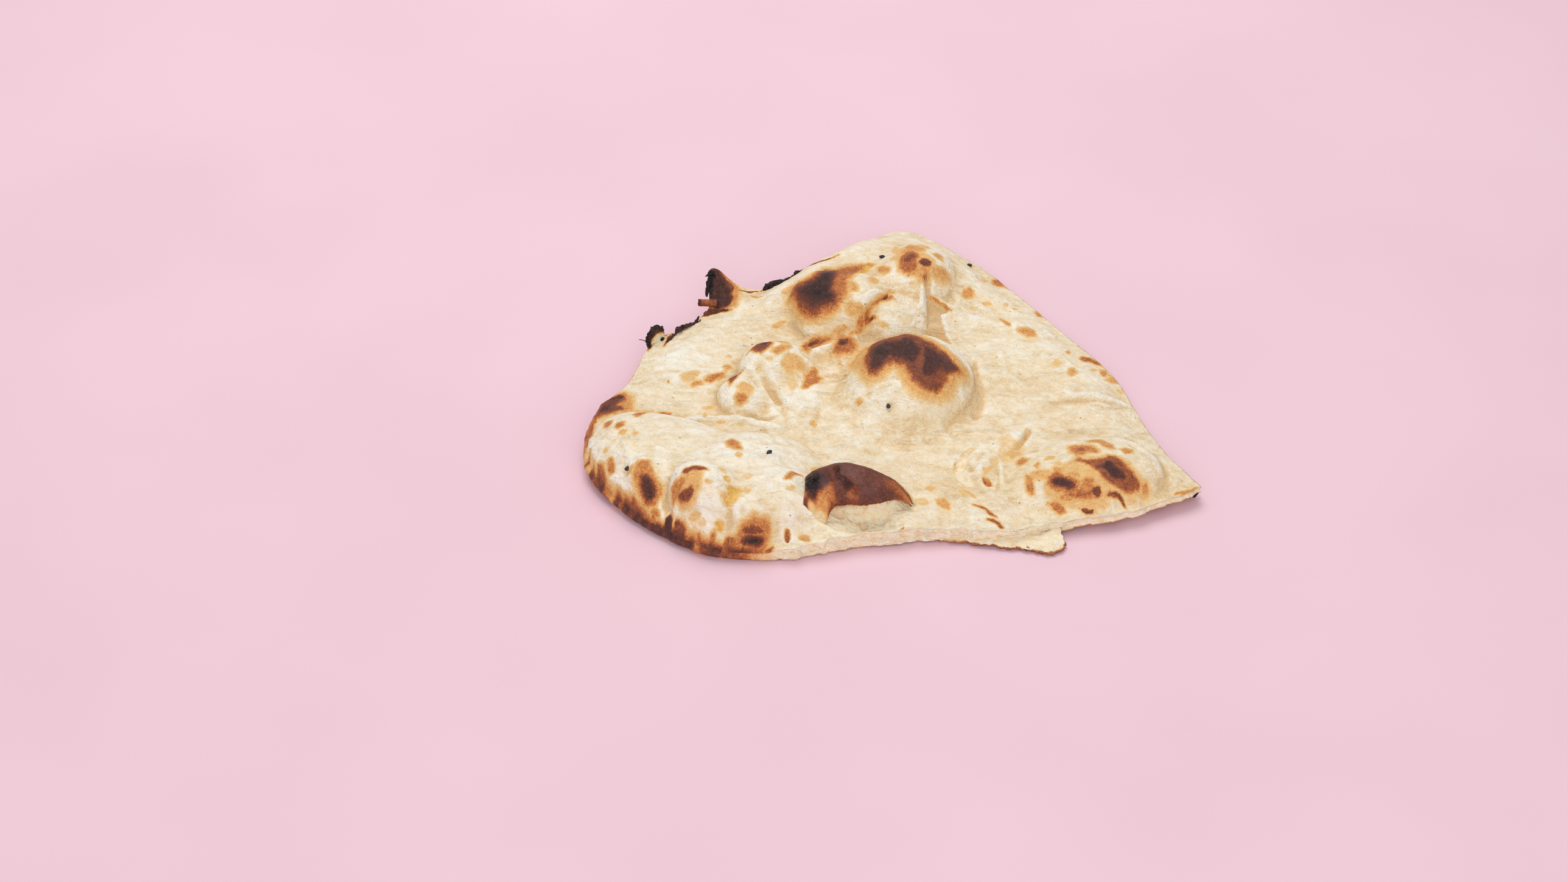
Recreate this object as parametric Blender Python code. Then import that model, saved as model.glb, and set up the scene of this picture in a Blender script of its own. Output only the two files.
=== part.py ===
"""Naan bread: one cut, hand-torn wedge of a large tandoor-baked naan, lying flat.

The sheet is laid out in plan inside its outline, blisters and folds raise its top,
and its edge is a baked crust on the left, a knife cut on the right and a tear in front.
Lengths in the tables are millimetres; the finished mesh is in metres, +Z up, with the
table at z = 0 and the middle of the bread's box on the Z axis.
"""
import math

import bmesh
import bpy
import numpy as np

for old in list(bpy.data.objects):
    bpy.data.objects.remove(old, do_unlink=True)

CELLS_U, CELLS_V = 50, 42  # cells along the front and back-left sides, and along the two others (both even)
RELAX = 40  # smoothing passes that even out the grid in plan
CENTRE = (-2.854, 21.315)  # middle of the bread's box in the tables' own x, y
MM = 0.001

SHEET = 7.2  # thickness of the flat bread away from its edges
EDGE_BAND = 15.0  # width over which the edge thickens to the sheet
LIFT_BAND = 30.0  # width over which a lifted edge comes down to the table
ROUND_BAND = 13.0  # width over which blisters die out at the rim

# Stations round the outline, one list for each side: x, y, height of the underside, thickness at the edge, crust (1 a baked rim, 0 torn through)
FRONT = [(-49, -76.5, 0.5, 3.5, 0.5), (-38, -74.5, 0.5, 5.2, 0), (-17, -69.5, 0.5, 6.4, 0), (18, -65, 0.7, 5.6, 0), (36, -66.3, 0.3, 5.8, 0),
         (55, -62, 0.6, 5.0, 0), (65, -60, 2.4, 3.6, 0), (82, -56.5, 3.2, 2.8, 0), (110, -42.5, 4.2, 2.4, 0)]
BACK_RIGHT = [(110, -42.5, 4.2, 2.4, 0), (97, -16, 2.6, 2.2, 0.2), (90.5, 3.5, 2.2, 2.4, 0.2), (84.5, 23, 2.0, 2.4, 0.2),
              (65.5, 54, 1.4, 2.4, 0.3), (34, 97.5, 1.4, 2.4, 0.3), (11, 117.5, 1.4, 2.6, 0.5), (3, 119, 1.4, 2.8, 0.6)]
BACK_LEFT = [(3, 119, 1.4, 2.8, 0.6), (-12, 109.5, 1.8, 2.8, 0.8), (-29, 94, 3.0, 2.6, 0.8), (-49.5, 75.5, 5.6, 2.0, 0.6), (-60, 75, 7.0, 1.7, 0.4), (-70.5, 74.5, 9.0, 1.5, 0.3),
             (-71.5, 62, 6.0, 1.7, 0.4), (-82, 49.5, 5.2, 2.3, 0.7), (-92.5, 40, 6.2, 2.0, 0.6), (-101, 17, 4.2, 3.2, 1), (-110.5, 3.5, 4.4, 4.6, 1)]
FRONT_LEFT = [(-110.5, 3.5, 4.4, 4.6, 1), (-115.3, -14, 3.6, 5.0, 1), (-114, -32, 2.0, 4.8, 1), (-99.5, -52, 0.5, 4.4, 1), (-71.5, -73, 0.2, 4.0, 1), (-49, -76.5, 0.5, 3.5, 0.5)]

# Curls that lift short stretches of the edge: x, y, reach, lift
CURLS = [(-69.5, 75.5, 7.5, 7.5), (-91.5, 43.5, 5.0, 1.5)]
# Places where the lower skin of the torn edge stands out past the upper one (+) or stops short (-): x, y, reach, size
LIPS = [(12, -65.3, 13, -3.0), (43, -65, 8, 3.0), (52.5, -63, 6.5, 6.5), (-6, -66.5, 8, -1.0)]

# name, level, centre x, y, reach left, right, front, back, turn, height, roundness left, right, front, back, lean x, y, squareness
PUFFS = [
    ("lobe_left", 1, -90, -28, 34, 36, 36, 21, 0, 13.5, 0.75, 0.9, 0.8, 0.6, 0, 0, 2),
    ("lobe_mid", 1, -62, -40, 34, 36, 44, 25, 0, 12.5, 0.8, 0.9, 0.8, 0.6, 0, 0, 2),
    ("back_hump", 1, -4, 68, 44, 42, 36, 44, 0, 11.0, 0.8, 1.1, 1.2, 0.9, 0, 0, 2),
    ("middle_rise", 1, -6, 16, 60, 46, 42, 46, 0, 4.0, 1.2, 1.2, 1.2, 1.2, 0, 0, 2),
    ("blister_a", 2, -24.5, 52.5, 13.5, 33, 14, 17, 10, 9.4, 0.6, 1.2, 1.1, 0.65, -0.8, 0, 2.4),
    ("blister_e", 2, 11, 74, 17, 15, 18, 20, 0, 6.5, 1.2, 0.7, 0.9, 0.8, 0, 0, 2.2),
    ("blister_b", 2, -1, 50, 12.5, 14, 13, 8, 20, 5.0, 0.6, 1.0, 1.0, 0.6, -1, 0, 2),
    ("blister_c", 2, 5.5, 17, 23, 26.5, 34, 17, -17, 15.2, 1.0, 0.72, 1.35, 0.62, 0, 0, 2.45),
    ("blister_d", 2, -47, 24, 13, 17, 23, 9.5, -4, 11.2, 0.75, 1.1, 1.2, 0.6, -1, 0, 2.2),
    ("blister_d_side", 2, -56, 6, 9, 10, 11, 14, 15, 8.2, 0.6, 1.2, 0.9, 0.8, -1.2, 0, 2.1),
    ("blister_d_low", 2, -38, 5, 12, 15, 14, 14, 0, 4.0, 0.8, 1.2, 1.0, 0.9, 0, 0, 2),
    ("blister_f", 2, -18.5, 28.5, 7, 7.5, 7, 6, 0, 5.0, 0.7, 0.8, 0.9, 0.6, 0, 0, 2),
    ("blister_k", 2, 70, -36, 27, 27.5, 23, 20, -10, 8.0, 1.2, 0.8, 1.0, 0.9, 0, 0, 2),
    ("blister_g", 2, -92.3, -49.5, 5.4, 5.2, 11, 9, 8, 3.0, 0.8, 0.9, 0.8, 0.8, 0, 0, 2),
    ("blister_h", 2, -72, -54, 10.5, 17, 19, 9, 0, 7.0, 0.5, 1.2, 1.1, 0.5, -1, 0, 2),
    ("blister_i", 2, -53.5, -68, 9, 9, 8, 10, 0, 5.0, 0.7, 0.8, 0.7, 0.8, 0, 0, 2),
    ("front_ridge", 2, -38, -56, 20, 24, 17, 14, 8, 5.5, 1.0, 1.0, 1.0, 1.0, 0, 0, 2),
    ("cap", 2, -15.5, -49, 19, 19.5, 13, 8.5, -9, 12.5, 0.5, 0.75, 0.45, 0.55, 0, -5, 2),
]
# name, height (+ ridge, - crease), half width, then the points it runs through
LINES = [
    ("fold_r1", 3.0, 2.8, [(-37, 28), (-30, 31), (-22, 34), (-16, 37.5), (-12.5, 42)]),
    ("fold_b", 2.0, 2.1, [(-15, 41), (-12, 45.5), (-8, 50), (-2, 53), (4, 52)]),
    ("pleat", 2.8, 1.6, [(12.8, 69), (12.2, 63), (11.8, 57), (12.0, 51)]),
    ("crease_d", -1.8, 2.0, [(-51, 20), (-49, 13), (-46, 5), (-42, -3), (-38.5, -8)]),
    ("crease_d2", -1.2, 2.2, [(-33, 22), (-31, 14), (-22, 15), (-11, 17)]),
    ("crease_c", -1.2, 2.0, [(29, 28), (32, 14), (32, 2), (27, -9)]),
    ("crease_k", -1.0, 1.8, [(80, -14), (90, -20), (96, -30), (97.5, -41), (95.5, -47)]),
    ("lobe_fold", 1.6, 2.2, [(-84, -6.5), (-72, -4.5), (-60, -5.5), (-50, -9), (-40, -13)]),
    ("ledge", 1.4, 1.6, [(62, 8.5), (72, 7.6), (82, 6.6), (90, 7.0)]),
    ("panel_ridge", 1.4, 3.6, [(-86, 12), (-76, 20), (-66, 24), (-58, 27)]),
    ("brown_crease", -1.0, 1.6, [(50, -8), (47.5, -15), (43, -22), (38, -26)]),
    ("step_right", 1.0, 3.0, [(22, 57), (32, 55), (42, 52), (52, 50)]),
]


def catmull(points, n):
    """n + 1 points at equal steps along a smooth curve through the stations, first two columns as the path."""
    p = np.array(points, float)
    a = np.vstack([2 * p[0] - p[1], p, 2 * p[-1] - p[-2]])
    t = np.concatenate([[0], np.cumsum(np.sqrt(np.maximum(np.linalg.norm(np.diff(a[:, :2], axis=0), axis=1), 1e-6)))])
    out = []
    for i in range(1, len(a) - 2):
        t0, t1, t2, t3 = t[i - 1:i + 3]
        s = np.linspace(t1, t2, 41)[:-1, None]
        a1 = (t1 - s) / (t1 - t0) * a[i - 1] + (s - t0) / (t1 - t0) * a[i]
        a2 = (t2 - s) / (t2 - t1) * a[i] + (s - t1) / (t2 - t1) * a[i + 1]
        a3 = (t3 - s) / (t3 - t2) * a[i + 1] + (s - t2) / (t3 - t2) * a[i + 2]
        b1 = (t2 - s) / (t2 - t0) * a1 + (s - t0) / (t2 - t0) * a2
        b2 = (t3 - s) / (t3 - t1) * a2 + (s - t1) / (t3 - t1) * a3
        out.append((t2 - s) / (t2 - t1) * b1 + (s - t1) / (t2 - t1) * b2)
    c = np.vstack(out + [a[-2:-1]])
    d = np.concatenate([[0], np.cumsum(np.linalg.norm(np.diff(c[:, :2], axis=0), axis=1))])
    w = np.linspace(0, d[-1], n + 1)
    return np.stack([np.interp(w, d, c[:, k]) for k in range(c.shape[1])], 1)


def smax(a, b, k):
    h = np.maximum(k - np.abs(a - b), 0) / k
    return np.maximum(a, b) + h ** 3 * k / 6


def step(a, b, x):
    t = np.clip((x - a) / (b - a), 0, 1)
    return t * t * (3 - 2 * t)


def spots(x, y, table):
    """Sum of soft bumps: x, y, reach, size."""
    return sum(s * np.exp(-((x - a) ** 2 + (y - b) ** 2) / r ** 2) for a, b, r, s in table)


def path_distance(x, y, path):
    """Distance to a smooth path, and how far along it (0 to 1) the nearest point lies."""
    c = catmull(path, 40)
    best, along = np.full(x.shape, 1e9), np.zeros(x.shape)
    for i in range(len(c) - 1):
        ax, ay = c[i][:2]
        dx, dy = c[i + 1][0] - ax, c[i + 1][1] - ay
        t = np.clip(((x - ax) * dx + (y - ay) * dy) / (dx * dx + dy * dy), 0, 1)
        d = np.hypot(x - ax - t * dx, y - ay - t * dy)
        hit = d < best
        best = np.where(hit, d, best)
        along = np.where(hit, (i + t) / (len(c) - 1), along)
    return best, along


def rim(nu, nv):
    """The outline as one closed loop of stations (x, y, lift, thickness, crust, lip), anticlockwise, with its outward normals."""
    loop = np.vstack([catmull(s, n)[:-1] for s, n in ((FRONT, nu), (BACK_RIGHT, nv), (BACK_LEFT, nu), (FRONT_LEFT, nv))])
    loop[:, 2] += spots(loop[:, 0], loop[:, 1], CURLS)
    loop = np.column_stack([loop, spots(loop[:, 0], loop[:, 1], LIPS)])
    t = np.roll(loop[:, :2], -1, 0) - np.roll(loop[:, :2], 1, 0)
    n = np.stack([t[:, 1], -t[:, 0]], 1)
    n /= np.linalg.norm(n, axis=1, keepdims=True)
    return loop, n


def patch(loop_xy, nu, nv, relax):
    """Plan positions of a grid: a Coons patch inside the loop's four sides, then relaxed."""
    c0, d1 = loop_xy[:nu + 1], loop_xy[nu:nu + nv + 1]
    c1 = loop_xy[nu + nv:2 * nu + nv + 1][::-1]
    d0 = np.vstack([loop_xy[2 * nu + nv:], loop_xy[:1]])[::-1]
    u, v = np.linspace(0, 1, nu + 1)[:, None, None], np.linspace(0, 1, nv + 1)[None, :, None]
    g = (1 - v) * c0[:, None] + v * c1[:, None] + (1 - u) * d0[None] + u * d1[None]
    g -= (1 - u) * (1 - v) * c0[0] + u * (1 - v) * c0[-1] + (1 - u) * v * c1[0] + u * v * c1[-1]
    for _ in range(relax):
        g[1:-1, 1:-1] = 0.25 * (g[:-2, 1:-1] + g[2:, 1:-1] + g[1:-1, :-2] + g[1:-1, 2:])
    return g


def rim_values(x, y, loop):
    """Distance in from the rim, and the rim's own values (lift, thickness, crust, lip) blended from its nearest stretch."""
    q = loop[::max(1, len(loop) // 360)]
    p = np.stack([x.ravel(), y.ravel()], 1)
    dist, vals = np.empty(len(p)), np.empty((len(p), 4))
    for a in range(0, len(p), 8192):
        b = p[a:a + 8192]
        d2 = (b[:, None, 0] - q[None, :, 0]) ** 2 + (b[:, None, 1] - q[None, :, 1]) ** 2
        dm = d2.min(1)
        dist[a:a + 8192] = np.sqrt(dm)
        sig = 2.0 + 0.35 * np.sqrt(dm)
        w = np.exp(-(d2 - dm[:, None]) / (2 * sig[:, None] ** 2))
        vals[a:a + 8192] = (w @ q[:, 2:6]) / w.sum(1, keepdims=True)
    return dist.reshape(x.shape), vals.reshape(x.shape + (4,))


def underside(dist, vals):
    """Height of the underside: lifted at the rim, on the table further in, and lifted higher over a shorter way at a curl."""
    flat = np.minimum(vals[..., 0], 5.0)
    low = flat * (1 - step(0, LIFT_BAND, dist)) + (vals[..., 0] - flat) * (1 - step(0, 0.4 * LIFT_BAND, dist))
    return np.where(dist >= LIFT_BAND, 0.0, low)


def puff(x, y, cx, cy, left, right, front, back, turn, pl, pr, pf, pb, square):
    """A blister's profile: 1 at its top, 0 on its foot, below 0 outside; rounder or sharper on each side."""
    c, s = math.cos(math.radians(turn)), math.sin(math.radians(turn))
    u, v = (x - cx) * c + (y - cy) * s, -(x - cx) * s + (y - cy) * c
    a, b = np.abs(u / np.where(u < 0, left, right)) ** square, np.abs(v / np.where(v < 0, front, back)) ** square
    power = (a * np.where(u < 0, pl, pr) + b * np.where(v < 0, pf, pb)) / np.maximum(a + b, 1e-9)
    r2 = a + b
    return np.where(r2 < 1, np.abs(1 - r2) ** power, -np.minimum(r2 - 1, 0.6))


def swell(x, y):
    """Height that the blisters add to the sheet, and how far they lean."""
    wx = x + 1.1 * np.sin(y / 9.0 + 0.8) + 0.6 * np.sin(x / 6.1 + y / 7.3)
    wy = y + 1.1 * np.sin(x / 10.0 + 2.1) + 0.6 * np.sin(x / 7.7 - y / 5.9)
    levels = {1: np.zeros(x.shape), 2: np.zeros(x.shape)}
    lean = np.zeros(x.shape + (2,))
    for name, level, cx, cy, left, right, front, back, turn, height, pl, pr, pf, pb, lx, ly, square in PUFFS:
        f = puff(wx, wy, cx, cy, left, right, front, back, turn, pl, pr, pf, pb, square)
        levels[level] = smax(levels[level], height * f, 0.35 * height + 1.0)
        lean += (np.maximum(f, 0) ** 1.5)[..., None] * np.array([lx, ly])
    return levels[1] + levels[2], lean


def lines(x, y):
    z = np.zeros(x.shape)
    for name, height, half, path in LINES:
        d, along = path_distance(x, y, path)
        z += height * np.exp(-(d / half) ** 2 * 1.4) * step(0, 0.18, along) * step(0, 0.18, 1 - along)
    return z


def heights(x, y, dist, vals):
    """Top and underside of the bread at a plan position, and the sideways lean of the top."""
    low = underside(dist, vals)
    thick = vals[..., 1] + (SHEET - vals[..., 1]) * step(0, EDGE_BAND, dist)
    round_in = np.sqrt(np.clip(1 - (1 - np.clip(dist / ROUND_BAND, 0, 1)) ** 2, 0, 1))
    up, lean = swell(x, y)
    wave = 0.5 * np.sin(x / 17.0 + 1.0) * np.sin(y / 13.0 + 0.5) + 0.35 * np.sin(x / 8.0 - y / 11.0)
    top = low + thick + up * round_in + (lines(x, y) + wave) * np.clip(dist / 4.0, 0, 1)
    return top, low, lean * round_in[..., None]


def edge_rows(loop, normal):
    """The edge's cross-section from the top skin down: offset outward and height of each row, as a bulge on the crust and a shallow groove where torn."""
    lift, thick, crust, lip = loop[:, 2], loop[:, 3], np.clip(loop[:, 4], 0, 1), loop[:, 5]
    tuck = -crust * 0.35 * thick  # how far the skins draw in from the bulge of the crust
    groove = -(1 - crust) * np.minimum(1.2, 0.2 * thick)
    out, over = np.maximum(lip, 0), np.minimum(lip, 0)
    offsets = (tuck, groove + 0.85 * out + 0.5 * over, tuck + out + over)
    levels = (lift + thick, lift + thick * (0.5 - 0.2 * np.clip(out / 4, 0, 1)), lift)
    return [(loop[:, :2] + normal * o[:, None], z) for o, z in zip(offsets, levels)]


def make_bread():
    """One closed mesh: top grid, edge strip, and an underside grid at half the top's density."""
    nu, nv = CELLS_U, CELLS_V
    loop, normal = rim(nu, nv)
    rows = edge_rows(loop, normal)
    top_xy = patch(rows[0][0], nu, nv, RELAX)
    under_xy = patch(rows[2][0][::2], nu // 2, nv // 2, RELAX)
    dist, vals = rim_values(top_xy[..., 0], top_xy[..., 1], loop)
    dist[[0, -1], :] = 0
    dist[:, [0, -1]] = 0
    top_z, _, lean = heights(top_xy[..., 0], top_xy[..., 1], dist, vals)
    under_dist, under_vals = rim_values(under_xy[..., 0], under_xy[..., 1], loop)
    under_z = underside(under_dist, under_vals)

    mesh = bmesh.new()

    def ring(grid):
        """A grid's border as a closed list, in the outline's order."""
        return grid[:-1, 0].tolist() + grid[-1, :-1].tolist() + grid[:0:-1, -1].tolist() + grid[0, :0:-1].tolist()

    def add(x, y, z):
        return mesh.verts.new(((x - CENTRE[0]) * MM, (y - CENTRE[1]) * MM, z * MM))

    top = np.array([[add(x + l[0], y + l[1], z) for (x, y), z, l in zip(*line)] for line in zip(top_xy, top_z, lean)], dtype=object)
    under = np.array([[add(x, y, z) for (x, y), z in zip(*line)] for line in zip(under_xy, under_z)], dtype=object)
    for vert, z in zip(ring(top), rows[0][1]):
        vert.co.z = z * MM
    for vert, z in zip(ring(under), rows[2][1][::2]):
        vert.co.z = z * MM
    middle = [add(x, y, z) for (x, y), z in zip(*rows[1])]

    for i in range(nu):
        for j in range(nv):
            mesh.faces.new((top[i, j], top[i + 1, j], top[i + 1, j + 1], top[i, j + 1]))
    for i in range(nu // 2):
        for j in range(nv // 2):
            mesh.faces.new((under[i, j], under[i, j + 1], under[i + 1, j + 1], under[i + 1, j]))
    upper, lower = ring(top), ring(under)
    count = len(middle)
    for k in range(count):
        mesh.faces.new((upper[k], middle[k], middle[(k + 1) % count], upper[(k + 1) % count]))
    for k in range(0, count, 2):
        a, b, c = middle[k], middle[k + 1], middle[(k + 2) % count]
        d, e = lower[k // 2], lower[(k // 2 + 1) % (count // 2)]
        mesh.faces.new((a, d, b))
        mesh.faces.new((b, d, e))
        mesh.faces.new((b, e, c))
    bmesh.ops.triangulate(mesh, faces=mesh.faces[:], quad_method='SHORT_EDGE')

    data = bpy.data.meshes.new("naan")
    mesh.to_mesh(data)
    mesh.free()
    data.shade_smooth()
    return data


def bread_material():
    """Pale baked dough."""
    material = bpy.data.materials.new("baked_dough")
    material.use_nodes = True
    shader = material.node_tree.nodes["Principled BSDF"]
    shader.inputs["Base Color"].default_value = (0.84, 0.73, 0.54, 1)
    shader.inputs["Roughness"].default_value = 0.75
    shader.inputs["Metallic"].default_value = 0.0
    return material


bread = bpy.data.objects.new("naan", make_bread())
bread.data.materials.append(bread_material())
bpy.context.scene.collection.objects.link(bread)
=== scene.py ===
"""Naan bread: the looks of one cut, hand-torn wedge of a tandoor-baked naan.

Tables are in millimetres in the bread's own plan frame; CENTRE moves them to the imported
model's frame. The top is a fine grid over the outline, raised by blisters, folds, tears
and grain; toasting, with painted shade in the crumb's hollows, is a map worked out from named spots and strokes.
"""
import math

import bmesh
import bpy
import numpy as np
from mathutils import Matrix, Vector


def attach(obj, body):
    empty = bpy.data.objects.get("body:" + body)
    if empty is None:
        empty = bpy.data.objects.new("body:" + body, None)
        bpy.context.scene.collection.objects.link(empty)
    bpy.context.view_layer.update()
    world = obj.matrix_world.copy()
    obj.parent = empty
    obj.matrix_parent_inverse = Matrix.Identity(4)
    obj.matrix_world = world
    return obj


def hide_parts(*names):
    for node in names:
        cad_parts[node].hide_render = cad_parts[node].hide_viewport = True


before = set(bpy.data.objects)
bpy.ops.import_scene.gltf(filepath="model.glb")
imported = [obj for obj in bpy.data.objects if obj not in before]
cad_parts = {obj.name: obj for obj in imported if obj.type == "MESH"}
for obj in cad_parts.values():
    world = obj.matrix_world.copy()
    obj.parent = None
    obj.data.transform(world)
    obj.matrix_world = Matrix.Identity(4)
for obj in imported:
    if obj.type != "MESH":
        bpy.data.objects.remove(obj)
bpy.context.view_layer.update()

CENTRE = (-2.854, 21.315)  # middle of the bread's box in the tables' own x, y
MM = 0.001
FINE_U, FINE_V = 300, 230  # cells of the top grid (both even)
EDGE_ROWS = 6  # rows between the upper and lower skins

SHEET = 7.2  # thickness of the flat bread away from its edges
EDGE_BAND = 15.0  # width over which the edge thickens to the sheet
LIFT_BAND = 30.0  # width over which a lifted edge comes down to the table
ROUND_BAND = 13.0  # width over which blisters die out at the rim

# Stations round the outline, one list for each side: x, y, height of the underside, thickness at the edge, crust (1 a baked rim, 0 torn through)
FRONT = [(-49, -76.5, 0.5, 3.5, 0.5), (-38, -74.5, 0.5, 5.2, 0), (-17, -69.5, 0.5, 6.4, 0), (18, -65, 0.7, 5.6, 0), (36, -66.3, 0.3, 5.8, 0),
         (55, -62, 0.6, 5.0, 0), (65, -60, 2.4, 3.6, 0), (82, -56.5, 3.2, 2.8, 0), (110, -42.5, 4.2, 2.4, 0)]
BACK_RIGHT = [(110, -42.5, 4.2, 2.4, 0), (97, -16, 2.6, 2.2, 0.2), (90.5, 3.5, 2.2, 2.4, 0.2), (84.5, 23, 2.0, 2.4, 0.2),
              (65.5, 54, 1.4, 2.4, 0.3), (34, 97.5, 1.4, 2.4, 0.3), (11, 117.5, 1.4, 2.6, 0.5), (3, 119, 1.4, 2.8, 0.6)]
BACK_LEFT = [(3, 119, 1.4, 2.8, 0.6), (-12, 109.5, 1.8, 2.8, 0.8), (-29, 94, 3.0, 2.6, 0.8), (-49.5, 75.5, 5.6, 2.0, 0.6), (-60, 75, 7.0, 1.7, 0.4), (-70.5, 74.5, 9.0, 1.5, 0.3),
             (-71.5, 62, 6.0, 1.7, 0.4), (-82, 49.5, 5.2, 2.3, 0.7), (-92.5, 40, 6.2, 2.0, 0.6), (-101, 17, 4.2, 3.2, 1), (-110.5, 3.5, 4.4, 4.6, 1)]
FRONT_LEFT = [(-110.5, 3.5, 4.4, 4.6, 1), (-115.3, -14, 3.6, 5.0, 1), (-114, -32, 2.0, 4.8, 1), (-99.5, -52, 0.5, 4.4, 1), (-71.5, -73, 0.2, 4.0, 1), (-49, -76.5, 0.5, 3.5, 0.5)]

# Curls that lift short stretches of the edge: x, y, reach, lift
CURLS = [(-69.5, 75.5, 7.5, 7.5), (-91.5, 43.5, 5.0, 1.5)]
# Places where the lower skin of the torn edge stands out past the upper one (+) or stops short (-): x, y, reach, size
LIPS = [(12, -65.3, 13, -3.0), (-6, -66.5, 8, -1.0)]

# name, level, centre x, y, reach left, right, front, back, turn, height, roundness left, right, front, back, lean x, y, squareness
PUFFS = [
    ("lobe_left", 1, -90, -28, 34, 36, 36, 21, 0, 13.5, 0.75, 0.9, 0.8, 0.6, 0, 0, 2),
    ("lobe_mid", 1, -62, -40, 34, 36, 44, 25, 0, 12.5, 0.8, 0.9, 0.8, 0.6, 0, 0, 2),
    ("back_hump", 1, -4, 68, 44, 42, 36, 44, 0, 11.0, 0.8, 1.1, 1.2, 0.9, 0, 0, 2),
    ("middle_rise", 1, -6, 16, 60, 46, 42, 46, 0, 4.0, 1.2, 1.2, 1.2, 1.2, 0, 0, 2),
    ("blister_a", 2, -24.5, 52.5, 13.5, 33, 14, 17, 10, 9.4, 0.6, 1.2, 1.1, 0.65, -0.8, 0, 2.4),
    ("blister_e", 2, 11, 74, 17, 15, 18, 20, 0, 6.5, 1.2, 0.7, 0.9, 0.8, 0, 0, 2.2),
    ("blister_b", 2, -1, 50, 12.5, 14, 13, 8, 20, 5.0, 0.6, 1.0, 1.0, 0.6, -1, 0, 2),
    ("blister_c", 2, 5.5, 17, 23, 26.5, 34, 17, -17, 15.2, 1.0, 0.72, 1.35, 0.62, 0, 0, 2.45),
    ("blister_d", 2, -47, 24, 13, 17, 23, 9.5, -4, 11.2, 0.75, 1.1, 1.2, 0.6, -1, 0, 2.2),
    ("blister_d_side", 2, -56, 6, 9, 10, 11, 14, 15, 8.2, 0.6, 1.2, 0.9, 0.8, -1.2, 0, 2.1),
    ("blister_d_low", 2, -38, 5, 12, 15, 14, 14, 0, 4.0, 0.8, 1.2, 1.0, 0.9, 0, 0, 2),
    ("blister_f", 2, -18.5, 28.5, 7, 7.5, 7, 6, 0, 5.0, 0.7, 0.8, 0.9, 0.6, 0, 0, 2),
    ("blister_k", 2, 70, -36, 27, 27.5, 23, 20, -10, 8.0, 1.2, 0.8, 1.0, 0.9, 0, 0, 2),
    ("blister_g", 2, -92.3, -49.5, 5.4, 5.2, 11, 9, 8, 3.0, 0.8, 0.9, 0.8, 0.8, 0, 0, 2),
    ("blister_h", 2, -72, -54, 10.5, 17, 19, 9, 0, 7.0, 0.5, 1.2, 1.1, 0.5, -1, 0, 2),
    ("blister_i", 2, -53.5, -68, 9, 9, 8, 10, 0, 5.0, 0.7, 0.8, 0.7, 0.8, 0, 0, 2),
    ("front_ridge", 2, -38, -56, 20, 24, 17, 14, 8, 5.5, 1.0, 1.0, 1.0, 1.0, 0, 0, 2),
    ("cap_root", 2, -15.5, -48.5, 17, 18, 8.5, 7.0, -9, 9.0, 0.8, 0.8, 0.8, 0.9, 0, 0, 2),
]
# name, height (+ ridge, - crease), half width, then the points it runs through
LINES = [
    ("fold_r1", 3.0, 2.8, [(-37, 28), (-30, 31), (-22, 34), (-16, 37.5), (-12.5, 42)]),
    ("fold_b", 2.0, 2.1, [(-15, 41), (-12, 45.5), (-8, 50), (-2, 53), (4, 52)]),
    ("pleat", 2.8, 1.6, [(12.8, 69), (12.2, 63), (11.8, 57), (12.0, 51)]),
    ("crease_d", -1.8, 2.0, [(-51, 20), (-49, 13), (-46, 5), (-42, -3), (-38.5, -8)]),
    ("crease_d2", -1.2, 2.2, [(-33, 22), (-31, 14), (-22, 15), (-11, 17)]),
    ("crease_c", -1.2, 2.0, [(29, 28), (32, 14), (32, 2), (27, -9)]),
    ("crease_k", -1.0, 1.8, [(80, -14), (90, -20), (96, -30), (97.5, -41), (95.5, -47)]),
    ("lobe_fold", 1.6, 2.2, [(-84, -6.5), (-72, -4.5), (-60, -5.5), (-50, -9), (-40, -13)]),
    ("ledge", 1.4, 1.6, [(62, 8.5), (72, 7.6), (82, 6.6), (90, 7.0)]),
    ("panel_ridge", 1.4, 3.6, [(-86, 12), (-76, 20), (-66, 24), (-58, 27)]),
    ("brown_crease", -1.0, 1.6, [(50, -8), (47.5, -15), (43, -22), (38, -26)]),
    ("step_right", 1.0, 3.0, [(22, 57), (32, 55), (42, 52), (52, 50)]),
]


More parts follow.
